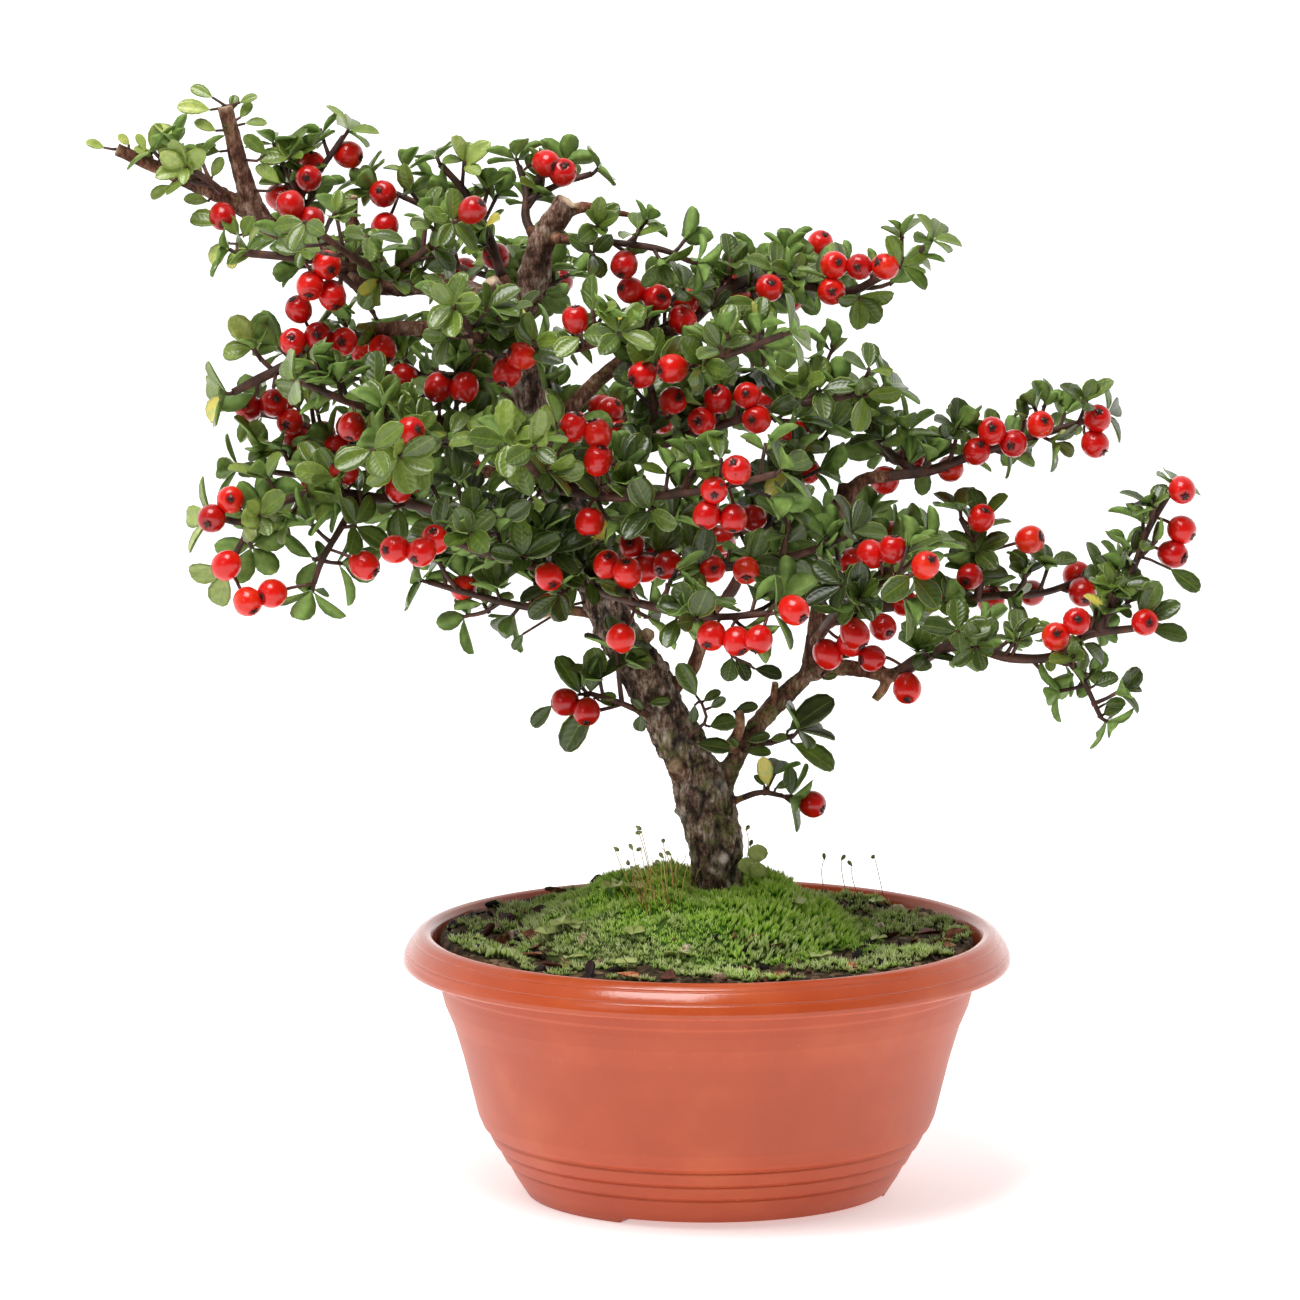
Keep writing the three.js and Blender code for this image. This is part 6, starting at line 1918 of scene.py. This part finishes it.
chips = strewn(CHIPS, 44, 53)
pebbles = on_the_ground(PEBBLES)
reach = np.concatenate([
    draw.uniform(0.5, 2.2, (CHIPS, 1)) * draw.uniform([0.8, 0.4, 0.2], [1.2, 0.9, 0.5], (CHIPS, 3)),
    draw.uniform([1.6, 1.2, 1.0], [2.8, 2.0, 1.7], (len(pebbles), 3)),
])
points, quads, triangles, tone = lumps(np.concatenate([chips, pebbles]) + [0, 0, 0.5], reach, 54)
tone[:CHIPS * STONE_POINTS] = tone[:CHIPS * STONE_POINTS] ** 1.6
tone[CHIPS * STONE_POINTS:] = 0.82 + 0.16 * tone[CHIPS * STONE_POINTS:]
litter = mesh_piece("litter_chips_and_pebbles", points, [quads, triangles], [grit])
keep_attribute(litter, "tone", tone)
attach(litter, "root")


# Small growth on the moss
# Hair-thin moss stalks that carry tiny capsules, and a few seedlings with round pale leaves.
# Stalks are listed by capsule [across, height] and the offset to their foot.
CAPSULES = [
    (-19.7, 104.2), (-18.2, 102.6), (-12.3, 99.9), (-25.8, 98.4), (-20.7, 97.9), (-18.4, 98.2),
    (-22.1, 94.6), (-12.3, 95.6), (-10.2, 96.3), (-19.1, 93.5), (-20, 92.2), (-13, 93.8),
    (-26.1, 89.4), (11, 102.2), (12.1, 97.7), (34.1, 91.4), (38.9, 91.4), (41.7, 90), (48, 93),
]
CAPSULE_FEET = [
    (-15, 82), (-14, 83), (-11, 81), (-17, 80), (-16, 79), (-13, 80), (-18, 81), (-10, 80),
    (-9, 82), (-15, 78), (-17, 79), (-12, 79), (-21, 80), (9, 88), (11, 88), (33.4, 82.6),
    (39.5, 81.6), (43, 80.6), (50, 79.6),
]
STALKS_BARE = 14
SEEDLINGS = [
    (-26, 84), (-20, 84.2), (-40.3, 74.3), (-37.3, 74), (-20.5, 72.4), (24.6, 80), (31.7, 66.2),
    (-7.9, 67.1), (-37.6, 65.9), (47.7, 69.6), (47.1, 77.4), (-44.7, 71.6), (-22.2, 65.1),
]

moss_stalk, tree, shader = finish("moss_stalk_and_capsule", "#a8843c", 0.5)
# Wiry stalks, red brown at the foot and straw yellow above, with olive capsules.
tone = add(tree, "Attribute", {"attribute_name": "tone"}).outputs["Fac"]
hue = add(
    tree, "ValToRGB",
    {
        "stops": [
            (0.0, "#86501f"), (0.3, "#bd9c4b"), (0.6, "#c2c673"), (0.8, "#747a3c"),
            (1.0, "#50552a"),
        ],
    },
    {"Fac": tone},
)
tree.links.new(hue.outputs["Color"], shader.inputs["Base Color"])

draw = np.random.default_rng(57)
feet = on_the_ground(CAPSULE_FEET)
ends = np.array(CAPSULES, float)
ends = np.stack([ends[:, 0], feet[:, 1], ends[:, 1] - SIGHT * feet[:, 1]], axis=1)
bare_feet = np.stack([draw.normal(-12, 5.5, STALKS_BARE), draw.normal(-20, 8, STALKS_BARE)], axis=1)
bare_feet = np.concatenate([bare_feet, mound_height(*bare_feet.T)[:, None]], axis=1)
bare_ends = bare_feet + np.stack([
    draw.normal(-1, 2.6, STALKS_BARE), draw.normal(0, 2.6, STALKS_BARE),
    draw.uniform(6, 13, STALKS_BARE),
], axis=1)
parts, tones = [], []
for foot, end in zip(np.concatenate([feet, bare_feet]), np.concatenate([ends, bare_ends])):
    t = np.linspace(0, 1, 7)[:, None]
    middle = (foot + end) / 2 + [*draw.normal(0, 2.2, 2), 1.4]
    bow = foot * (1 - t) ** 2 + 2 * t * (1 - t) * middle + end * t ** 2
    parts.append(tube(bow, np.linspace(0.14, 0.11, 7), 5))
    tones.append(np.r_[np.repeat(np.linspace(0.0, 0.6, 7), 5) * draw.uniform(0.4, 1.0), 0.0, 0.5])
for end in ends:
    pole = np.linspace(0.0, 1.0, 7)
    lean = np.array([draw.normal(0, 0.7), draw.normal(0, 0.4), draw.uniform(-0.3, 1.0)])
    places = end + (pole[:, None] - 0.1) * lean / np.linalg.norm(lean) * 2.0
    parts.append(tube(places, 0.62 * np.sin(math.pi * (0.08 + 0.84 * pole ** 1.4)) ** 0.8, 8))
    tones.append(np.r_[np.repeat(0.75 + 0.25 * pole ** 3, 8), 0.8, 1.0])
points, quads, triangles = joined(parts)
stalks = mesh_piece("moss_stalks", points, [quads, triangles], [moss_stalk])
keep_attribute(stalks, "tone", np.concatenate(tones))
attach(stalks, "root")

seedling_leaf, tree, shader = finish("soft_seedling_leaf", "#9db57e", 0.55, Specular_IOR_Level=0.3)
# Thin soft leaves, pale yellow green with a faint bloom.
place = add(tree, "TexCoord").outputs["Object"]
mottle = add(tree, "TexNoise", {}, {"Vector": place, "Scale": 450.0, "Detail": 3.0}).outputs["Fac"]
pale = add(
    tree, "ValToRGB", {"stops": [(0.3, "#8c9a4e"), (0.55, "#a3ae62"), (0.8, "#bfc684")]},
    {"Fac": mottle},
)
tree.links.new(pale.outputs["Color"], shader.inputs["Base Color"])

spots = on_the_ground(SEEDLINGS)
hub = np.repeat(spots + [0, 0, 2.4], 3, axis=0)
angle = np.tile([0.3, 2.4, 4.5], len(spots)) + np.repeat(draw.uniform(0, 2, len(spots)), 3)
outward = unit(np.stack([np.cos(angle), np.sin(angle), draw.uniform(0.0, 0.5, len(angle))], axis=1))
face = unit(UP - 0.35 * sight + 0.2 * draw.normal(0, 1, (len(hub), 3)))
upper = unit(face - (face * outward).sum(axis=1, keepdims=True) * outward)
length = np.repeat(draw.uniform(2.4, 4.6, len(spots)), 3)
by_trunk = true_place([(14.1, -4, 92.6), (11.5, -6, 89.6), (14, -5, 88.6)])
tips = true_place([(14.1, -5, 98.2), (10.6, -7, 94.6), (14.5, -8, 93)])
hub, length = np.concatenate([hub, by_trunk]), np.r_[
    length, np.linalg.norm(tips - by_trunk, axis=1),
]
outward = np.concatenate([outward, unit(tips - by_trunk)])
facing = unit(
    UP * 0.4 - sight - ((UP * 0.4 - sight) * outward[-3:]).sum(axis=1, keepdims=True) * outward[-3:]
)
upper = np.concatenate([upper, facing])
few = len(hub)
seedling = [
    hub, outward, np.cross(upper, outward), upper, length, length * 0.95, np.full(few, 0.1),
    np.zeros(few),
]
points, quads, triangles = blades(seedling)[:3]
stems_up = [
    tube(np.stack([spot - [0, 0, 0.5], spot + [0, 0, 2.5]]), [0.2, 0.16], 5) for spot in spots
]
points, quads, triangles = joined([(points, quads, triangles), *stems_up])
seedlings = mesh_piece("moss_seedlings", points, [quads, triangles], [seedling_leaf])
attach(seedlings, "root")
